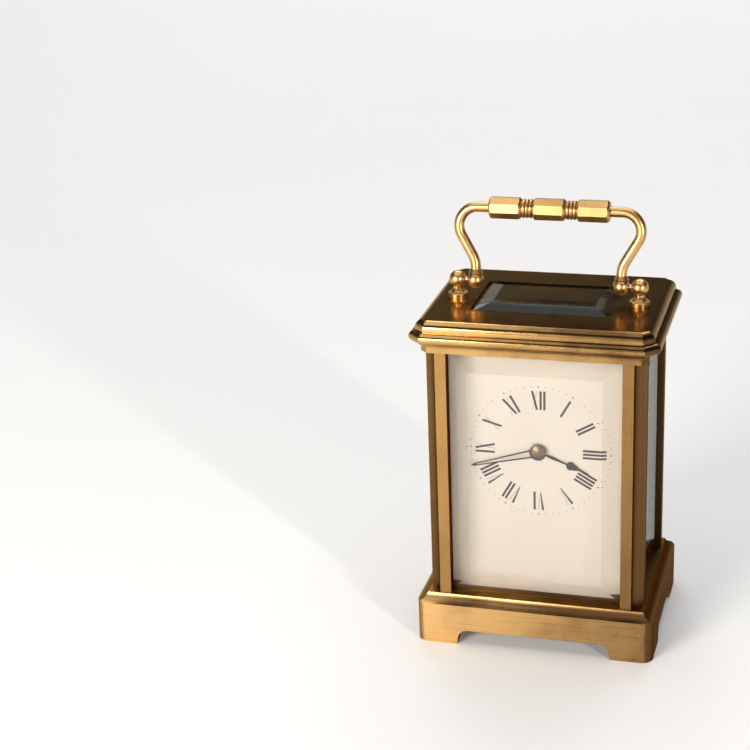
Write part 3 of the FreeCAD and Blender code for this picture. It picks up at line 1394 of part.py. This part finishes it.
def cross(reach, width):
    bars = [Part.makeBox(2 * reach, width, 4, Vector(-reach, -width / 2, -2))]
    other = bars[0].copy()
    other.rotate(Vector(0, 0, 0), Vector(0, 0, 1), 90)
    return bars[0].fuse(other)


make_base()
make_pillars()
make_cornice()
make_glasses()
make_case_screws()
make_door()
make_handle()
make_train()
make_hands()
make_movement_frame(make_motion_work())
make_dial()
make_click()
make_platform()

doc.recompute()
for thing in doc.Objects:
    if "Invalid" in thing.State or "Error" in thing.State:
        raise RuntimeError(f"{thing.Name} failed: {thing.State}")
for node, thing in PARTS.items():
    if thing.Shape.isNull() or not thing.Shape.isValid():
        raise RuntimeError(f"{node} has no valid shape")

os.makedirs("parts", exist_ok=True)
for node, thing in PARTS.items():
    thing.Shape.exportStep(f"parts/{node}.step")
    solids = thing.Shape.Solids
    volume = sum(solid.Volume for solid in solids)
    print(f"{node}: {len(solids)} solids, {volume:.2f} mm3")
print(len(PARTS), "sub-parts")
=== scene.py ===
# %% [markdown]
# # A carriage clock in brass and glass
# This is a small spring-driven clock in a box of bevelled glass. The brass base, pillars, top and
# handle, the enamel dial, the hands and the whole movement arrive as a finished frame. What is left
# to make is how they look: the painted figures on the dial, the ruby bearings, and a finish for each
# metal, for the enamel and for the glass.
# %% Load the frame
import json
import math

import bmesh
import bpy
from mathutils import Euler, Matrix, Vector


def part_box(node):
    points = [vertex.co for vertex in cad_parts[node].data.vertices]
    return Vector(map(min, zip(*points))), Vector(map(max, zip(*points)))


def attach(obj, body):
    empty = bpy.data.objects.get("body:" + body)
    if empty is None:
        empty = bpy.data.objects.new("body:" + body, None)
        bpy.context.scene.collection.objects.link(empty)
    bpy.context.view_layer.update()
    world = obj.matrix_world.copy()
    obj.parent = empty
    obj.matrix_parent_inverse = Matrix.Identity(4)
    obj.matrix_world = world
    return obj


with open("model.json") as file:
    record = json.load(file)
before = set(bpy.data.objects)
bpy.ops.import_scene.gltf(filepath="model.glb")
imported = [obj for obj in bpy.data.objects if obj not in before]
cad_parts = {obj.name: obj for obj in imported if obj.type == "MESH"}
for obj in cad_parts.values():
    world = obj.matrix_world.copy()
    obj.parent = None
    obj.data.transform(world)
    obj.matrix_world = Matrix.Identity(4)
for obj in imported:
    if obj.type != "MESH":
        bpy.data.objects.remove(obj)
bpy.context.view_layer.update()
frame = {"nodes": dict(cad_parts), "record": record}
NODES = frame["nodes"]

# %% [markdown]
# ## The camera and the studio
# The clock stands on a wide pale sweep and is seen from a little above, from its right. Polished
# brass shows the room more than it shows itself, so the room is planned first. A soft key light
# stands in front on the left, and a narrow one on the right throws the edge of a pillar's shadow on
# the dial. Two more hang high up and keep the sweep pale. The sky is bright along the horizon and
# dim above it, so a mirror that lies flat looks into the dim part and turns brown, while one that
# stands looks out over the bright floor and turns gold.
# %% Camera
LENS = 85.23
CAMERA_PLACE = (0.10653, -0.56856, 0.31305)
CAMERA_TURN = (1.206176, 0.038325, 0.275077)
camera_data = bpy.data.cameras.new("camera")
camera_data.lens = LENS
camera_data.sensor_width = 36.0
camera_data.clip_start = 0.01
camera = bpy.data.objects.new("camera", camera_data)
camera.location = CAMERA_PLACE
camera.rotation_euler = Euler(CAMERA_TURN)
bpy.context.scene.collection.objects.link(camera)
bpy.context.scene.camera = camera
bpy.context.scene.view_settings.view_transform = "Standard"
print("camera at", tuple(round(v, 3) for v in camera.location))

# %% [markdown]
# ## Writing a material as sums
# A material is a graph of nodes, and arithmetic drawn as a graph is hard to read. Here a wire that
# leaves a node can be added, multiplied or compared as if it were a number, and each operation puts
# down the Math node that does it. Everything else comes from one method, which takes the node's
# type, its settings and what goes into its sockets.
# %% A board of nodes and its wires
class Wire:
    """One output socket. Sums on wires put down Math nodes."""

    def __init__(self, board, socket):
        self.board = board
        self.socket = socket

    def sum(self, operation, first, second):
        return self.board.node("Math", {"operation": operation}, {0: first, 1: second})

    def __add__(self, other):
        return self.sum("ADD", self, other)

    def __radd__(self, other):
        return self.sum("ADD", other, self)

    def __sub__(self, other):
        return self.sum("SUBTRACT", self, other)

    def __rsub__(self, other):
        return self.sum("SUBTRACT", other, self)

    def __mul__(self, other):
        return self.sum("MULTIPLY", self, other)

    def __rmul__(self, other):
        return self.sum("MULTIPLY", other, self)


class Board:
    """The node tree of one material."""

    def __init__(self, name):
        self.material = bpy.data.materials.new(name)
        self.material.use_nodes = True
        self.tree = self.material.node_tree
        self.tree.nodes.clear()

    def node(self, kind, settings=None, values=None, out=0):
        made = self.tree.nodes.new("ShaderNode" + kind)
        for key, value in (settings or {}).items():
            if key == "stops":
                set_stops(made.color_ramp, value)
            else:
                setattr(made, key, value)
        for key, value in (values or {}).items():
            if isinstance(value, Wire):
                self.tree.links.new(value.socket, made.inputs[key])
            else:
                made.inputs[key].default_value = value
        return Wire(self, made.outputs[out]) if made.outputs else None


def set_stops(ramp, stops):
    """Gives a colour ramp its stops, as (place, colour)."""
    while len(ramp.elements) > 1:
        ramp.elements.remove(ramp.elements[-1])
    ramp.elements[0].position = stops[0][0]
    ramp.elements[0].color = (*stops[0][1], 1)
    for place, colour in stops[1:]:
        ramp.elements.new(place).color = (*colour, 1)


print("a board takes nodes, and its wires take + - and *")

# %% Small helpers for patterns
def spots(board, size, stretch=(1, 1, 1), detail=3.0, roughness=0.55):
    """Cloudy noise on the piece itself. The size is a spot's width in metres."""
    place = board.node("TexCoord", out="Object")
    scaled = board.node("VectorMath", {"operation": "MULTIPLY"}, {0: place, 1: stretch})
    values = {"Vector": scaled, "Scale": 1 / size, "Detail": detail, "Roughness": roughness}
    return board.node("TexNoise", values=values)


def between(board, value, low, high):
    """Nought below low, one above high, and a soft ramp between."""
    values = {"Value": value, "From Min": low, "From Max": high}
    return board.node("MapRange", {"interpolation_type": "SMOOTHSTEP"}, values)


def mix(board, mask, first, second):
    """A colour that goes from first to second as the mask rises."""
    return board.node("Mix", {"data_type": "RGBA"}, {0: mask, 6: first, 7: second}, out=2)


def bump(board, height, depth):
    return board.node("Bump", values={"Height": height, "Distance": depth, "Strength": 1.0})


def finish_material(board, **values):
    """Ends the board in one Principled shader with the given sockets."""
    named = {key.replace("_", " "): value for key, value in values.items()}
    shader = board.node("BsdfPrincipled", values=named)
    board.node("OutputMaterial", values={"Surface": shader})
    return board.material


print("helpers ready")

# %% [markdown]
# ## The sweep and the lights
# In a studio, a clock stands on a sheet of pale paper under large soft lamps. A captured room could
# light it instead, but with lamps placed one at a time it is plain which edge each of them lights.
# The sweep is one flat square, every lamp is a rectangle, and the sky is a ramp by height.
# %% Floor, sky and lights
def pale_paper():
    board = Board("pale_paper")
    cloud = spots(board, 0.4)
    colour = mix(board, cloud, (0.80, 0.80, 0.80, 1), (0.84, 0.835, 0.83, 1))
    return finish_material(board, Base_Color=colour, Roughness=0.75)


def make_floor(half):
    mesh = bpy.data.meshes.new("floor")
    mesh.from_pydata([(-half, -half, 0), (half, -half, 0), (half, half, 0), (-half, half, 0)],
                     [], [(0, 1, 2, 3)])
    mesh.materials.append(pale_paper())
    floor = bpy.data.objects.new("floor", mesh)
    bpy.context.scene.collection.objects.link(floor)


def make_sky():
    """A sky that is bright at the horizon and dim above it."""
    world = bpy.data.worlds.new("studio")
    world.use_nodes = True
    tree = world.node_tree
    tree.nodes.clear()
    place = tree.nodes.new("ShaderNodeTexCoord")
    split = tree.nodes.new("ShaderNodeSeparateXYZ")
    ramp = tree.nodes.new("ShaderNodeValToRGB")
    set_stops(ramp.color_ramp, [(0.0, (0.80, 0.80, 0.80)), (0.12, (0.55, 0.54, 0.53)),
                                (0.26, (0.08, 0.075, 0.07)), (0.50, (0.05, 0.048, 0.046))])
    light = tree.nodes.new("ShaderNodeBackground")
    output = tree.nodes.new("ShaderNodeOutputWorld")
    tree.links.new(place.outputs["Generated"], split.inputs[0])
    tree.links.new(split.outputs[2], ramp.inputs[0])
    tree.links.new(ramp.outputs[0], light.inputs["Color"])
    tree.links.new(light.outputs[0], output.inputs["Surface"])
    bpy.context.scene.world = world


def make_light(name, place, aim, width, height, power, colour=(1, 1, 1)):
    data = bpy.data.lights.new(name, "AREA")
    data.shape = "RECTANGLE"
    data.size = width
    data.size_y = height
    data.energy = power
    data.color = colour
    light = bpy.data.objects.new(name, data)
    light.location = place
    toward = Vector(aim) - Vector(place)
    light.rotation_euler = toward.to_track_quat("-Z", "Y").to_euler()
    bpy.context.scene.collection.objects.link(light)


CLOCK_MIDDLE = (0, 0, 0.07)
FLOOR_HALF = 6.0
make_floor(FLOOR_HALF)
make_sky()
make_light("key_light", (-0.57, -1.12, 0.42), CLOCK_MIDDLE, 0.5, 0.5, 18, (1.0, 0.955, 0.90))
make_light("window_light", (0.95, -0.95, 0.40), CLOCK_MIDDLE, 0.06, 0.30, 9, (1.0, 0.97, 0.93))
make_light("wall_light", (-0.3, 2.3, 2.5), (-0.3, 2.1, 0), 2.6, 1.0, 55)
make_light("overhead_light", (-0.2, 0.2, 3.2), (-0.2, 0.2, 0), 4.0, 4.0, 70)
print("studio ready")

# %% [markdown]
# ## Brass
# The case was gilt and polished once, and has gone brown in cloudy patches and in its hollows. A
# metal has no colour of its own beyond its reflection, so the gold goes into the base colour with
# Metallic at one, and the brown is a second, duller base colour that a mask brings in. The mask adds
# soft clouds, fine specks and streaks along the grain. It then adds the faces of the case and top
# that don't face forward, where the brown is patina in the hollows and painted shade on the flat
# tops, sides and back, and the scoops of the pillars. Towards the right it adds more brown as
# painted shade. The base is given a lighter gold as painted light and the pillars a darker one as
# painted shade. A clean metal goes bright where it is seen at a slant. Dirt takes that shine off,
# so the edge colour is darkened.
# %% Brass finishes
GOLD = (0.70, 0.42, 0.15, 1)
# The base gold below is lighter than the plain gold as painted light, and the pillar gold darker as
# painted shade.
LIT_BASE_GOLD = (0.86, 0.53, 0.21, 1)
SHADED_PILLAR_GOLD = (0.45, 0.255, 0.088, 1)
HANDLE_GOLD = (0.62, 0.375, 0.15, 1)
TARNISH_AND_SHADE = (0.13, 0.068, 0.026, 1)


def along(board, what, axis):
    """One part of a piece's own place or facing: 0, 1 and 2 are X, Y and Z."""
    vector = board.node("TexCoord", out=what)
    return board.node("SeparateXYZ", values={0: vector}, out=axis)


# Painted shade: on the case and top, the brown on faces turned from the front is shade on the flat
# tops, sides and back, and patina in the hollows.
def forward_faces(board):
    """One where the piece faces forward, nought at its sides, back, top and hollows."""
    return between(board, 0 - along(board, "Normal", 1), 0.80, 0.97)


PILLAR_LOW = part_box("front_left_pillar")[0]
SKIN = 0.00012


def lands_and_edges(board):
    """One on the flat lands of a pillar, a half on its outer edges, nought in its scoop."""
    depth = board.node("Math", {"operation": "ABSOLUTE"}, {0: along(board, "Object", 1)})
    width = board.node("Math", {"operation": "ABSOLUTE"}, {0: along(board, "Object", 0)})
    lands = between(board, depth, -PILLAR_LOW.y - 2 * SKIN, -PILLAR_LOW.y - SKIN)
    edges = between(board, width, -PILLAR_LOW.x - 2 * SKIN, -PILLAR_LOW.x - SKIN)
    return board.node("Math", {"operation": "MAXIMUM"}, {0: lands, 1: edges * 0.5})


CLOUD_SIZE = 0.018
SPECK_SIZE = 0.0011
FINE = 0.0006
PIT_DEPTH = 0.000012
# Painted shade: where the brown starts and ends its rise towards the right.
SHADE_FROM_X, SHADE_TO_X = -0.045, 0.050
DULL_EDGE = (0.45, 0.30, 0.18, 1)
CLEAN_EDGE = (0.95, 0.80, 0.62, 1)


def brass(name, gold, brown, wear, grain, dull, bright_mask=None, patina_and_shade=0.0, right_shade=0.0,
          edge=DULL_EDGE):
    """Gold that turns brown in cloudy patches and specks, browner where the given mask is low, and
    browner towards its right as painted shade.
    """
    board = Board(name)
    clouds = between(board, spots(board, CLOUD_SIZE, detail=5.0), 0.42, 0.72)
    specks = between(board, spots(board, SPECK_SIZE, detail=4.0), 0.62, 0.74)
    lines = spots(board, FINE, grain, detail=4.0)
    streaks = between(board, lines, 0.52, 0.72)
    mask = clouds * wear + specks * 0.4 + streaks * 0.16
    if bright_mask:
        # Brown where the mask is low: patina in the hollows, and painted shade on flat tops, sides
        # and back.
        mask = mask + (1 - bright_mask(board)) * patina_and_shade
    # Painted shade: the brown grows towards the right, standing in for the light falling off from
    # the left.
    if right_shade:
        mask = mask + between(board, along(board, "Object", 0), SHADE_FROM_X, SHADE_TO_X) * right_shade
    mask = board.node("Clamp", values={0: mask})
    colour = mix(board, mask, gold, brown)
    roughness = dull + mask * 0.08 + lines * 0.16
    pits = lines * 0.6 + specks * 0.5
    return finish_material(board, Base_Color=colour, Metallic=1.0, Roughness=roughness,
                           Specular_Tint=edge, Normal=bump(board, pits, PIT_DEPTH))


UPRIGHT_GRAIN = (1.0, 1.0, 0.02)
LEVEL_GRAIN = (0.03, 0.03, 1.0)
EVEN_GRAIN = (1.0, 1.0, 1.0)
MOVEMENT_GOLD = (0.66, 0.47, 0.20, 1)
WHEEL_GOLD = (0.72, 0.50, 0.20, 1)
MATERIALS = {
    "case_brass": brass("case_brass", LIT_BASE_GOLD, TARNISH_AND_SHADE, 0.25, LEVEL_GRAIN, 0.26,
                        forward_faces, 0.55, 0.72),
    "top_brass": brass("top_brass", GOLD, TARNISH_AND_SHADE, 0.30, EVEN_GRAIN, 0.05,
                       forward_faces, 0.34, 0.6, CLEAN_EDGE),
    "pillar_brass": brass("pillar_brass", SHADED_PILLAR_GOLD, TARNISH_AND_SHADE, 0.2, UPRIGHT_GRAIN, 0.20,
                          lands_and_edges, 0.95, 0.5),
    "handle_brass": brass("handle_brass", HANDLE_GOLD, TARNISH_AND_SHADE, 0.35, EVEN_GRAIN, 0.24,
                          edge=CLEAN_EDGE),
    "movement_brass": brass("movement_brass", MOVEMENT_GOLD, TARNISH_AND_SHADE, 0.2, UPRIGHT_GRAIN, 0.32),
    "wheel_brass": brass("wheel_brass", WHEEL_GOLD, TARNISH_AND_SHADE, 0.15, EVEN_GRAIN, 0.2),
}
print("brass finishes:", ", ".join(MATERIALS))

# %% [markdown]
# ## Steel, enamel and glass
# The screws, arbors and springs are steel, the hands are steel coloured by heat, and the dial is
# copper under a fired white enamel. An image of each surface could be wrapped on, but noise on the
# piece's own place needs no seams. Enamel is a soft white under a clear coat with slow waves, since
# it was once liquid. The panes are thick blocks that bend light, with darker ground bevels, and the
# panes at the side, top and back are tinted darker as painted shade, so the movement stays dim.
# %% Steel
def steel(name, bright, dark, dull):
    board = Board(name)
    clouds = spots(board, 0.004, detail=4.0)
    lines = spots(board, 0.0004, (1, 1, 0.2), detail=3.0)
    colour = mix(board, clouds, bright, dark)
    return finish_material(board, Base_Color=colour, Metallic=1.0, Roughness=dull + lines * 0.2,
                           Normal=bump(board, lines, 0.000005))


MATERIALS["steel"] = steel("steel", (0.62, 0.61, 0.60, 1), (0.40, 0.39, 0.39, 1), 0.18)
MATERIALS["bronze"] = steel("bronze", (0.26, 0.175, 0.105, 1), (0.16, 0.11, 0.07, 1), 0.28)
MATERIALS["blued_steel"] = steel("blued_steel", (0.095, 0.07, 0.06, 1),
                                 (0.05, 0.04, 0.045, 1), 0.25)
MATERIALS["spring_steel"] = steel("spring_steel", (0.22, 0.25, 0.36, 1),
                                  (0.12, 0.14, 0.24, 1), 0.2)
print("steels and bronze mixed")


# %% Enamel, dial paint, ruby and glass
def enamel():
    board = Board("enamel")
    clouds = spots(board, 0.03, detail=3.0)
    specks = between(board, spots(board, 0.0008, detail=2.0), 0.70, 0.76)
    colour = mix(board, clouds, (0.90, 0.775, 0.665, 1), (0.93, 0.81, 0.70, 1))
    colour = mix(board, specks * 0.25, colour, (0.60, 0.50, 0.42, 1))
    waves = spots(board, 0.012, detail=1.0)
    return finish_material(board, Base_Color=colour, Roughness=0.22, Coat_Weight=0.6,
                           Coat_Roughness=0.04, Normal=bump(board, waves, 0.00002))


def dial_paint():
    board = Board("dial_paint")
    clouds = spots(board, 0.002, detail=3.0)
    colour = mix(board, clouds, (0.040, 0.022, 0.018, 1), (0.065, 0.040, 0.033, 1))
    return finish_material(board, Base_Color=colour, Roughness=0.3 + clouds * 0.1)


def ruby():
    board = Board("ruby")
    clouds = spots(board, 0.0006, detail=2.0)
    colour = mix(board, clouds, (0.42, 0.012, 0.05, 1), (0.60, 0.03, 0.10, 1))
    return finish_material(board, Base_Color=colour, Roughness=0.12, Coat_Weight=1.0)


def plate_glass(name, clear, edge, index):
    """Flat glass whose ground bevels let a little less through than its middle."""
    board = Board(name)
    square = board.node("TexCoord", out="Normal")
    size = board.node("VectorMath", {"operation": "ABSOLUTE"}, {0: square})
    parts = [board.node("SeparateXYZ", values={0: size}, out=axis) for axis in range(3)]
    most = board.node("Math", {"operation": "MAXIMUM"}, {0: parts[0], 1: parts[1]})
    most = board.node("Math", {"operation": "MAXIMUM"}, {0: most, 1: parts[2]})
    bevels = between(board, 1 - most, 0.01, 0.03)
    smears = between(board, spots(board, 0.006, (1, 1, 0.3), detail=5.0), 0.55, 0.9)
    colour = mix(board, bevels, clear, edge)
    return finish_material(board, Base_Color=colour, Roughness=smears * 0.03, IOR=index,
                           Transmission_Weight=1.0)


MATERIALS["enamel"] = enamel()
MATERIALS["dial_paint"] = dial_paint()
MATERIALS["ruby"] = ruby()
MATERIALS["glass"] = plate_glass("glass", (0.97, 0.985, 0.975, 1), (0.86, 0.83, 0.77, 1), 1.45)
# Painted shade: the top and door panes, and the side panes below, are tinted darker to keep the
# movement behind them dim.
MATERIALS["top_glass"] = plate_glass("top_glass", (0.58, 0.64, 0.58, 1),
                                     (0.32, 0.38, 0.33, 1), 1.3)
SIDE_SHADE_TINT = (0.50, 0.54, 0.49, 1)
MATERIALS["shaded_side_glass"] = plate_glass("shaded_side_glass", SIDE_SHADE_TINT, SIDE_SHADE_TINT, 1.07)
print(len(MATERIALS), "materials")

# %% Give every node its finish
WEARERS = {
    "pillar_brass": ["front_left_pillar", "front_right_pillar", "back_left_pillar",
                     "back_right_pillar"],
    "handle_brass": ["left_handle_arm", "right_handle_arm", "handle_grip", "left_handle_post",
                     "right_handle_post", "door_knob"],
    "top_brass": ["cornice", "top_glass_frame"],
    "shaded_side_glass": ["left_glass", "right_glass"],
    "top_glass": ["top_glass", "door_glass"],
    "bronze": ["hand_collet"],
}
SPECIAL = {node: finish for finish, nodes in WEARERS.items() for node in nodes}
for entry in frame["record"]["subparts"]:
    node = entry["node"]
    finish = MATERIALS[SPECIAL.get(node, entry["material_slot"])]
    for place in NODES[node].material_slots:
        place.material = finish
    if not NODES[node].material_slots:
        NODES[node].data.materials.append(finish)

# %% [markdown]
# ## The figures on the dial
# An enamel dial is painted and fired, so its figures stand a hair above the white. Roman figures
# are upright strokes, thick for one direction and hair-thin for the other, set so that their feet
# point at the middle. They could be a font bent round a circle, but a font's letters are the wrong
# weight and shape. Each stroke is drawn here as a thin block in a frame that turns with the hour.
# %% Where the dial is
DIAL_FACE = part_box("dial")[0].y
hand_low, hand_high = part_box("hand_collet")
DIAL_MIDDLE = Vector((0, DIAL_FACE, (hand_low.z + hand_high.z) / 2))
PAINT = 0.00004
print("dial face at y =", round(DIAL_FACE, 5), "middle at z =", round(DIAL_MIDDLE.z, 5))

# %% Strokes of the numerals
FIGURE_FOOT = 0.01525
FIGURE_HEAD = 0.0220
THICK = 0.00078
THIN = 0.00010
STEP = 0.00128
LAYER_RISE = 0.1
FIGURES = ["I", "II", "III", "IIII", "V", "VI", "VII", "VIII", "IX", "X", "XI", "XII"]
LETTER_WIDTH = {"I": 0.0, "V": 0.00165, "X": 0.00165}


def letter_strokes(letter, x):
    """Strokes as (x at the foot, x at the head, width at the foot, width at the head)."""
    wide = LETTER_WIDTH[letter]
    if letter == "I":
        return [(x, x, THICK, THICK)]
    if letter == "V":
        foot = x + wide * 0.5
        return [(foot, x, THICK * 0.35, THICK * 1.05), (foot, x + wide, THIN, THIN)]
    return [(x + wide, x, THICK, THICK), (x, x + wide, THIN, THIN)]


def figure_strokes(figure):
    """All the strokes of one numeral, about its own middle."""
    strokes, x = [], 0.0
    for letter in figure:
        strokes += letter_strokes(letter, x)
        x += LETTER_WIDTH[letter] + STEP
    middle = (x - STEP) / 2
    return [(foot - middle, head - middle, w0, w1) for foot, head, w0, w1 in strokes]


def add_block(mesh, outline, rise):
    """A thin block on the dial. The outline is (x, height) from the middle, as thick as paint."""
    back = [mesh.verts.new((x, DIAL_FACE, DIAL_MIDDLE.z + z)) for x, z in outline]
    front = [mesh.verts.new((x, DIAL_FACE - rise, DIAL_MIDDLE.z + z)) for x, z in outline]
    mesh.faces.new(back)
    mesh.faces.new(front[::-1])
    count = len(outline)
    for i in range(count):
        j = (i + 1) % count
        mesh.faces.new((back[i], front[i], front[j], back[j]))


def make_numerals():
    mesh = bmesh.new()
    for hour, figure in enumerate(FIGURES, start=1):
        angle = math.radians(30 * hour)
        side = Vector((math.cos(angle), -math.sin(angle)))
        out = Vector((math.sin(angle), math.cos(angle)))
        for layer, (foot, head, foot_width, head_width) in enumerate(figure_strokes(figure)):
            corners = [
                (foot - foot_width / 2, FIGURE_FOOT),
                (foot + foot_width / 2, FIGURE_FOOT),
                (head + head_width / 2, FIGURE_HEAD),
                (head - head_width / 2, FIGURE_HEAD),
            ]
            outline = [tuple(side * x + out * r) for x, r in corners]
            add_block(mesh, outline, PAINT * (1 + LAYER_RISE * layer))
    bmesh.ops.recalc_face_normals(mesh, faces=mesh.faces)
    data = bpy.data.meshes.new("dial_numerals")
    mesh.to_mesh(data)
    mesh.free()
    data.materials.append(MATERIALS["dial_paint"])
    piece = bpy.data.objects.new("dial_numerals", data)
    bpy.context.scene.collection.objects.link(piece)
    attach(piece, "case")
    return piece


numerals = make_numerals()
print("numerals:", len(numerals.data.polygons), "faces")

# %% [markdown]
# ## The minute dots
# Sixty dots stand round the figures, a larger one at each five minutes. They repeat by a rule, so
# Geometry Nodes set them out: a circle of sixty points, one flat round dot on each, and a size that
# is chosen by whether a point's number divides by five.
# %% A node tree for the ring of dots
def tree_with_inputs(name, inputs):
    """An empty geometry tree with named number inputs, as {name: default}."""
    tree = bpy.data.node_groups.new(name, "GeometryNodeTree")
    tree.interface.new_socket("Geometry", in_out="INPUT", socket_type="NodeSocketGeometry")
    tree.interface.new_socket("Geometry", in_out="OUTPUT", socket_type="NodeSocketGeometry")
    for word, value in inputs.items():
        kind = "NodeSocketInt" if isinstance(value, int) else "NodeSocketFloat"
        socket = tree.interface.new_socket(word, in_out="INPUT", socket_type=kind)
        socket.default_value = value
    return tree, tree.nodes.new("NodeGroupInput"), tree.nodes.new("NodeGroupOutput")


def grow(name, tree, values, mesh, body):
    """Runs a tree on a mesh, keeps the result as a plain mesh, and rides it on a body."""
    holder = bpy.data.objects.new(name + "_holder", mesh)
    bpy.context.scene.collection.objects.link(holder)
    modifier = holder.modifiers.new("tree", "NODES")
    modifier.node_group = tree
    for item in tree.interface.items_tree:
        if item.item_type == "SOCKET" and item.in_out == "INPUT" and item.name in values:
            modifier[item.identifier] = values[item.name]
    bpy.context.view_layer.update()
    ready = holder.evaluated_get(bpy.context.evaluated_depsgraph_get())
    result = bpy.data.meshes.new_from_object(ready)
    result.name = name
    holder.modifiers.remove(modifier)
    bpy.data.objects.remove(holder)
    piece = bpy.data.objects.new(name, result)
    bpy.context.scene.collection.objects.link(piece)
    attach(piece, body)
    return piece


MINUTES = 60
DOT_RING = {"Count": MINUTES, "Ring radius": 0.0236, "Small dot": 0.00017, "Large dot": 0.00027,
            "Paint": PAINT, "Face": DIAL_FACE, "Height": DIAL_MIDDLE.z}


def dot_ring_tree():
    tree, given, result = tree_with_inputs("dot_ring", DOT_RING)
    add = tree.nodes.new
    link = tree.links.new
    ring = add("GeometryNodeMeshCircle")
    link(given.outputs["Count"], ring.inputs["Vertices"])
    link(given.outputs["Ring radius"], ring.inputs["Radius"])
    dot = add("GeometryNodeMeshCylinder")
    dot.inputs["Vertices"].default_value = 10
    dot.inputs["Radius"].default_value = 1.0
    dot.inputs["Depth"].default_value = 1.0
    index = add("GeometryNodeInputIndex")
    every = add("ShaderNodeMath")
    every.operation = "MODULO"
    every.inputs[1].default_value = 5.0
    link(index.outputs[0], every.inputs[0])
    small = add("ShaderNodeMath")
    small.operation = "GREATER_THAN"
    small.inputs[1].default_value = 0.5
    link(every.outputs[0], small.inputs[0])
    size = add("ShaderNodeMix")
    size.data_type = "FLOAT"
    link(small.outputs[0], size.inputs[0])
    link(given.outputs["Large dot"], size.inputs[2])
    link(given.outputs["Small dot"], size.inputs[3])
    scale = add("ShaderNodeCombineXYZ")
    link(size.outputs[0], scale.inputs[0])
    link(size.outputs[0], scale.inputs[1])
    link(given.outputs["Paint"], scale.inputs[2])
    spread = add("GeometryNodeInstanceOnPoints")
    link(ring.outputs[0], spread.inputs["Points"])
    link(dot.outputs[0], spread.inputs["Instance"])
    link(scale.outputs[0], spread.inputs["Scale"])
    stand = add("GeometryNodeTransform")
    link(spread.outputs[0], stand.inputs["Geometry"])
    stand.inputs["Rotation"].default_value = (math.pi / 2, 0, 0)
    shift = add("ShaderNodeCombineXYZ")
    link(given.outputs["Face"], shift.inputs[1])
    link(given.outputs["Height"], shift.inputs[2])
    link(shift.outputs[0], stand.inputs["Translation"])
    real = add("GeometryNodeRealizeInstances")
    link(stand.outputs[0], real.inputs[0])
    paint = add("GeometryNodeSetMaterial")
    paint.inputs["Material"].default_value = MATERIALS["dial_paint"]
    link(real.outputs[0], paint.inputs["Geometry"])
    link(paint.outputs[0], result.inputs[0])
    return tree


nothing = bpy.data.meshes.new("empty")
dots = grow("minute_dots", dot_ring_tree(), {"Count": MINUTES}, nothing, "case")
print("minute dots:", len(dots.data.polygons), "faces")

# %% [markdown]
# ## Ruby bearings
# The fast arbors of the escapement turn in rubies, because steel hardly wears them. Each shows as
# a red ring round a pivot, one in the cock over the balance and two in the bridge. They could be
# cut by hand, but one ring set on a list of places is the same work for three as for thirty, so the
# places are the points of a small mesh and Geometry Nodes puts a ring on each.
# %% Where the rubies sit
JOINTS = frame["record"]["behaviour"]["joints"]
PIVOT_OF = {joint["name"]: Vector(joint["pos_m"]) for joint in JOINTS}
BRIDGE_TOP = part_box("escapement_bridge")[1].z
COCK_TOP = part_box("balance_cock")[1].z
RUBY_PLACES = [
    (0, PIVOT_OF["escape_turn"].y, BRIDGE_TOP),
    (0, PIVOT_OF["lever_rock"].y, BRIDGE_TOP),
    (0, PIVOT_OF["balance_swing"].y, COCK_TOP),
]
print("rubies at", [tuple(round(v, 5) for v in place) for place in RUBY_PLACES])


# %% A node tree that sets a ring on each point
RUBY_RADIUS = 0.00095
RUBY_THICKNESS = 0.00032


def ruby_tree():
    sizes = {"Ring radius": RUBY_RADIUS, "Ring thickness": RUBY_THICKNESS}
    tree, given, result = tree_with_inputs("ruby_rings", sizes)
    add = tree.nodes.new
    link = tree.links.new
    path = add("GeometryNodeCurvePrimitiveCircle")
    path.inputs["Resolution"].default_value = 20
    link(given.outputs["Ring radius"], path.inputs["Radius"])
    section = add("GeometryNodeCurvePrimitiveCircle")
    section.inputs["Resolution"].default_value = 8
    link(given.outputs["Ring thickness"], section.inputs["Radius"])
    ring = add("GeometryNodeCurveToMesh")
    link(path.outputs["Curve"], ring.inputs["Curve"])
    link(section.outputs["Curve"], ring.inputs["Profile Curve"])
    spread = add("GeometryNodeInstanceOnPoints")
    link(given.outputs["Geometry"], spread.inputs["Points"])
    link(ring.outputs[0], spread.inputs["Instance"])
    real = add("GeometryNodeRealizeInstances")
    link(spread.outputs[0], real.inputs[0])
    paint = add("GeometryNodeSetMaterial")
    paint.inputs["Material"].default_value = MATERIALS["ruby"]
    link(real.outputs[0], paint.inputs["Geometry"])
    link(paint.outputs[0], result.inputs[0])
    return tree


places = bpy.data.meshes.new("ruby_places")
places.from_pydata(RUBY_PLACES, [], [])
rubies = grow("ruby_bearings", ruby_tree(), {"Ring radius": RUBY_RADIUS}, places, "case")
print("rubies:", len(rubies.data.polygons), "faces")
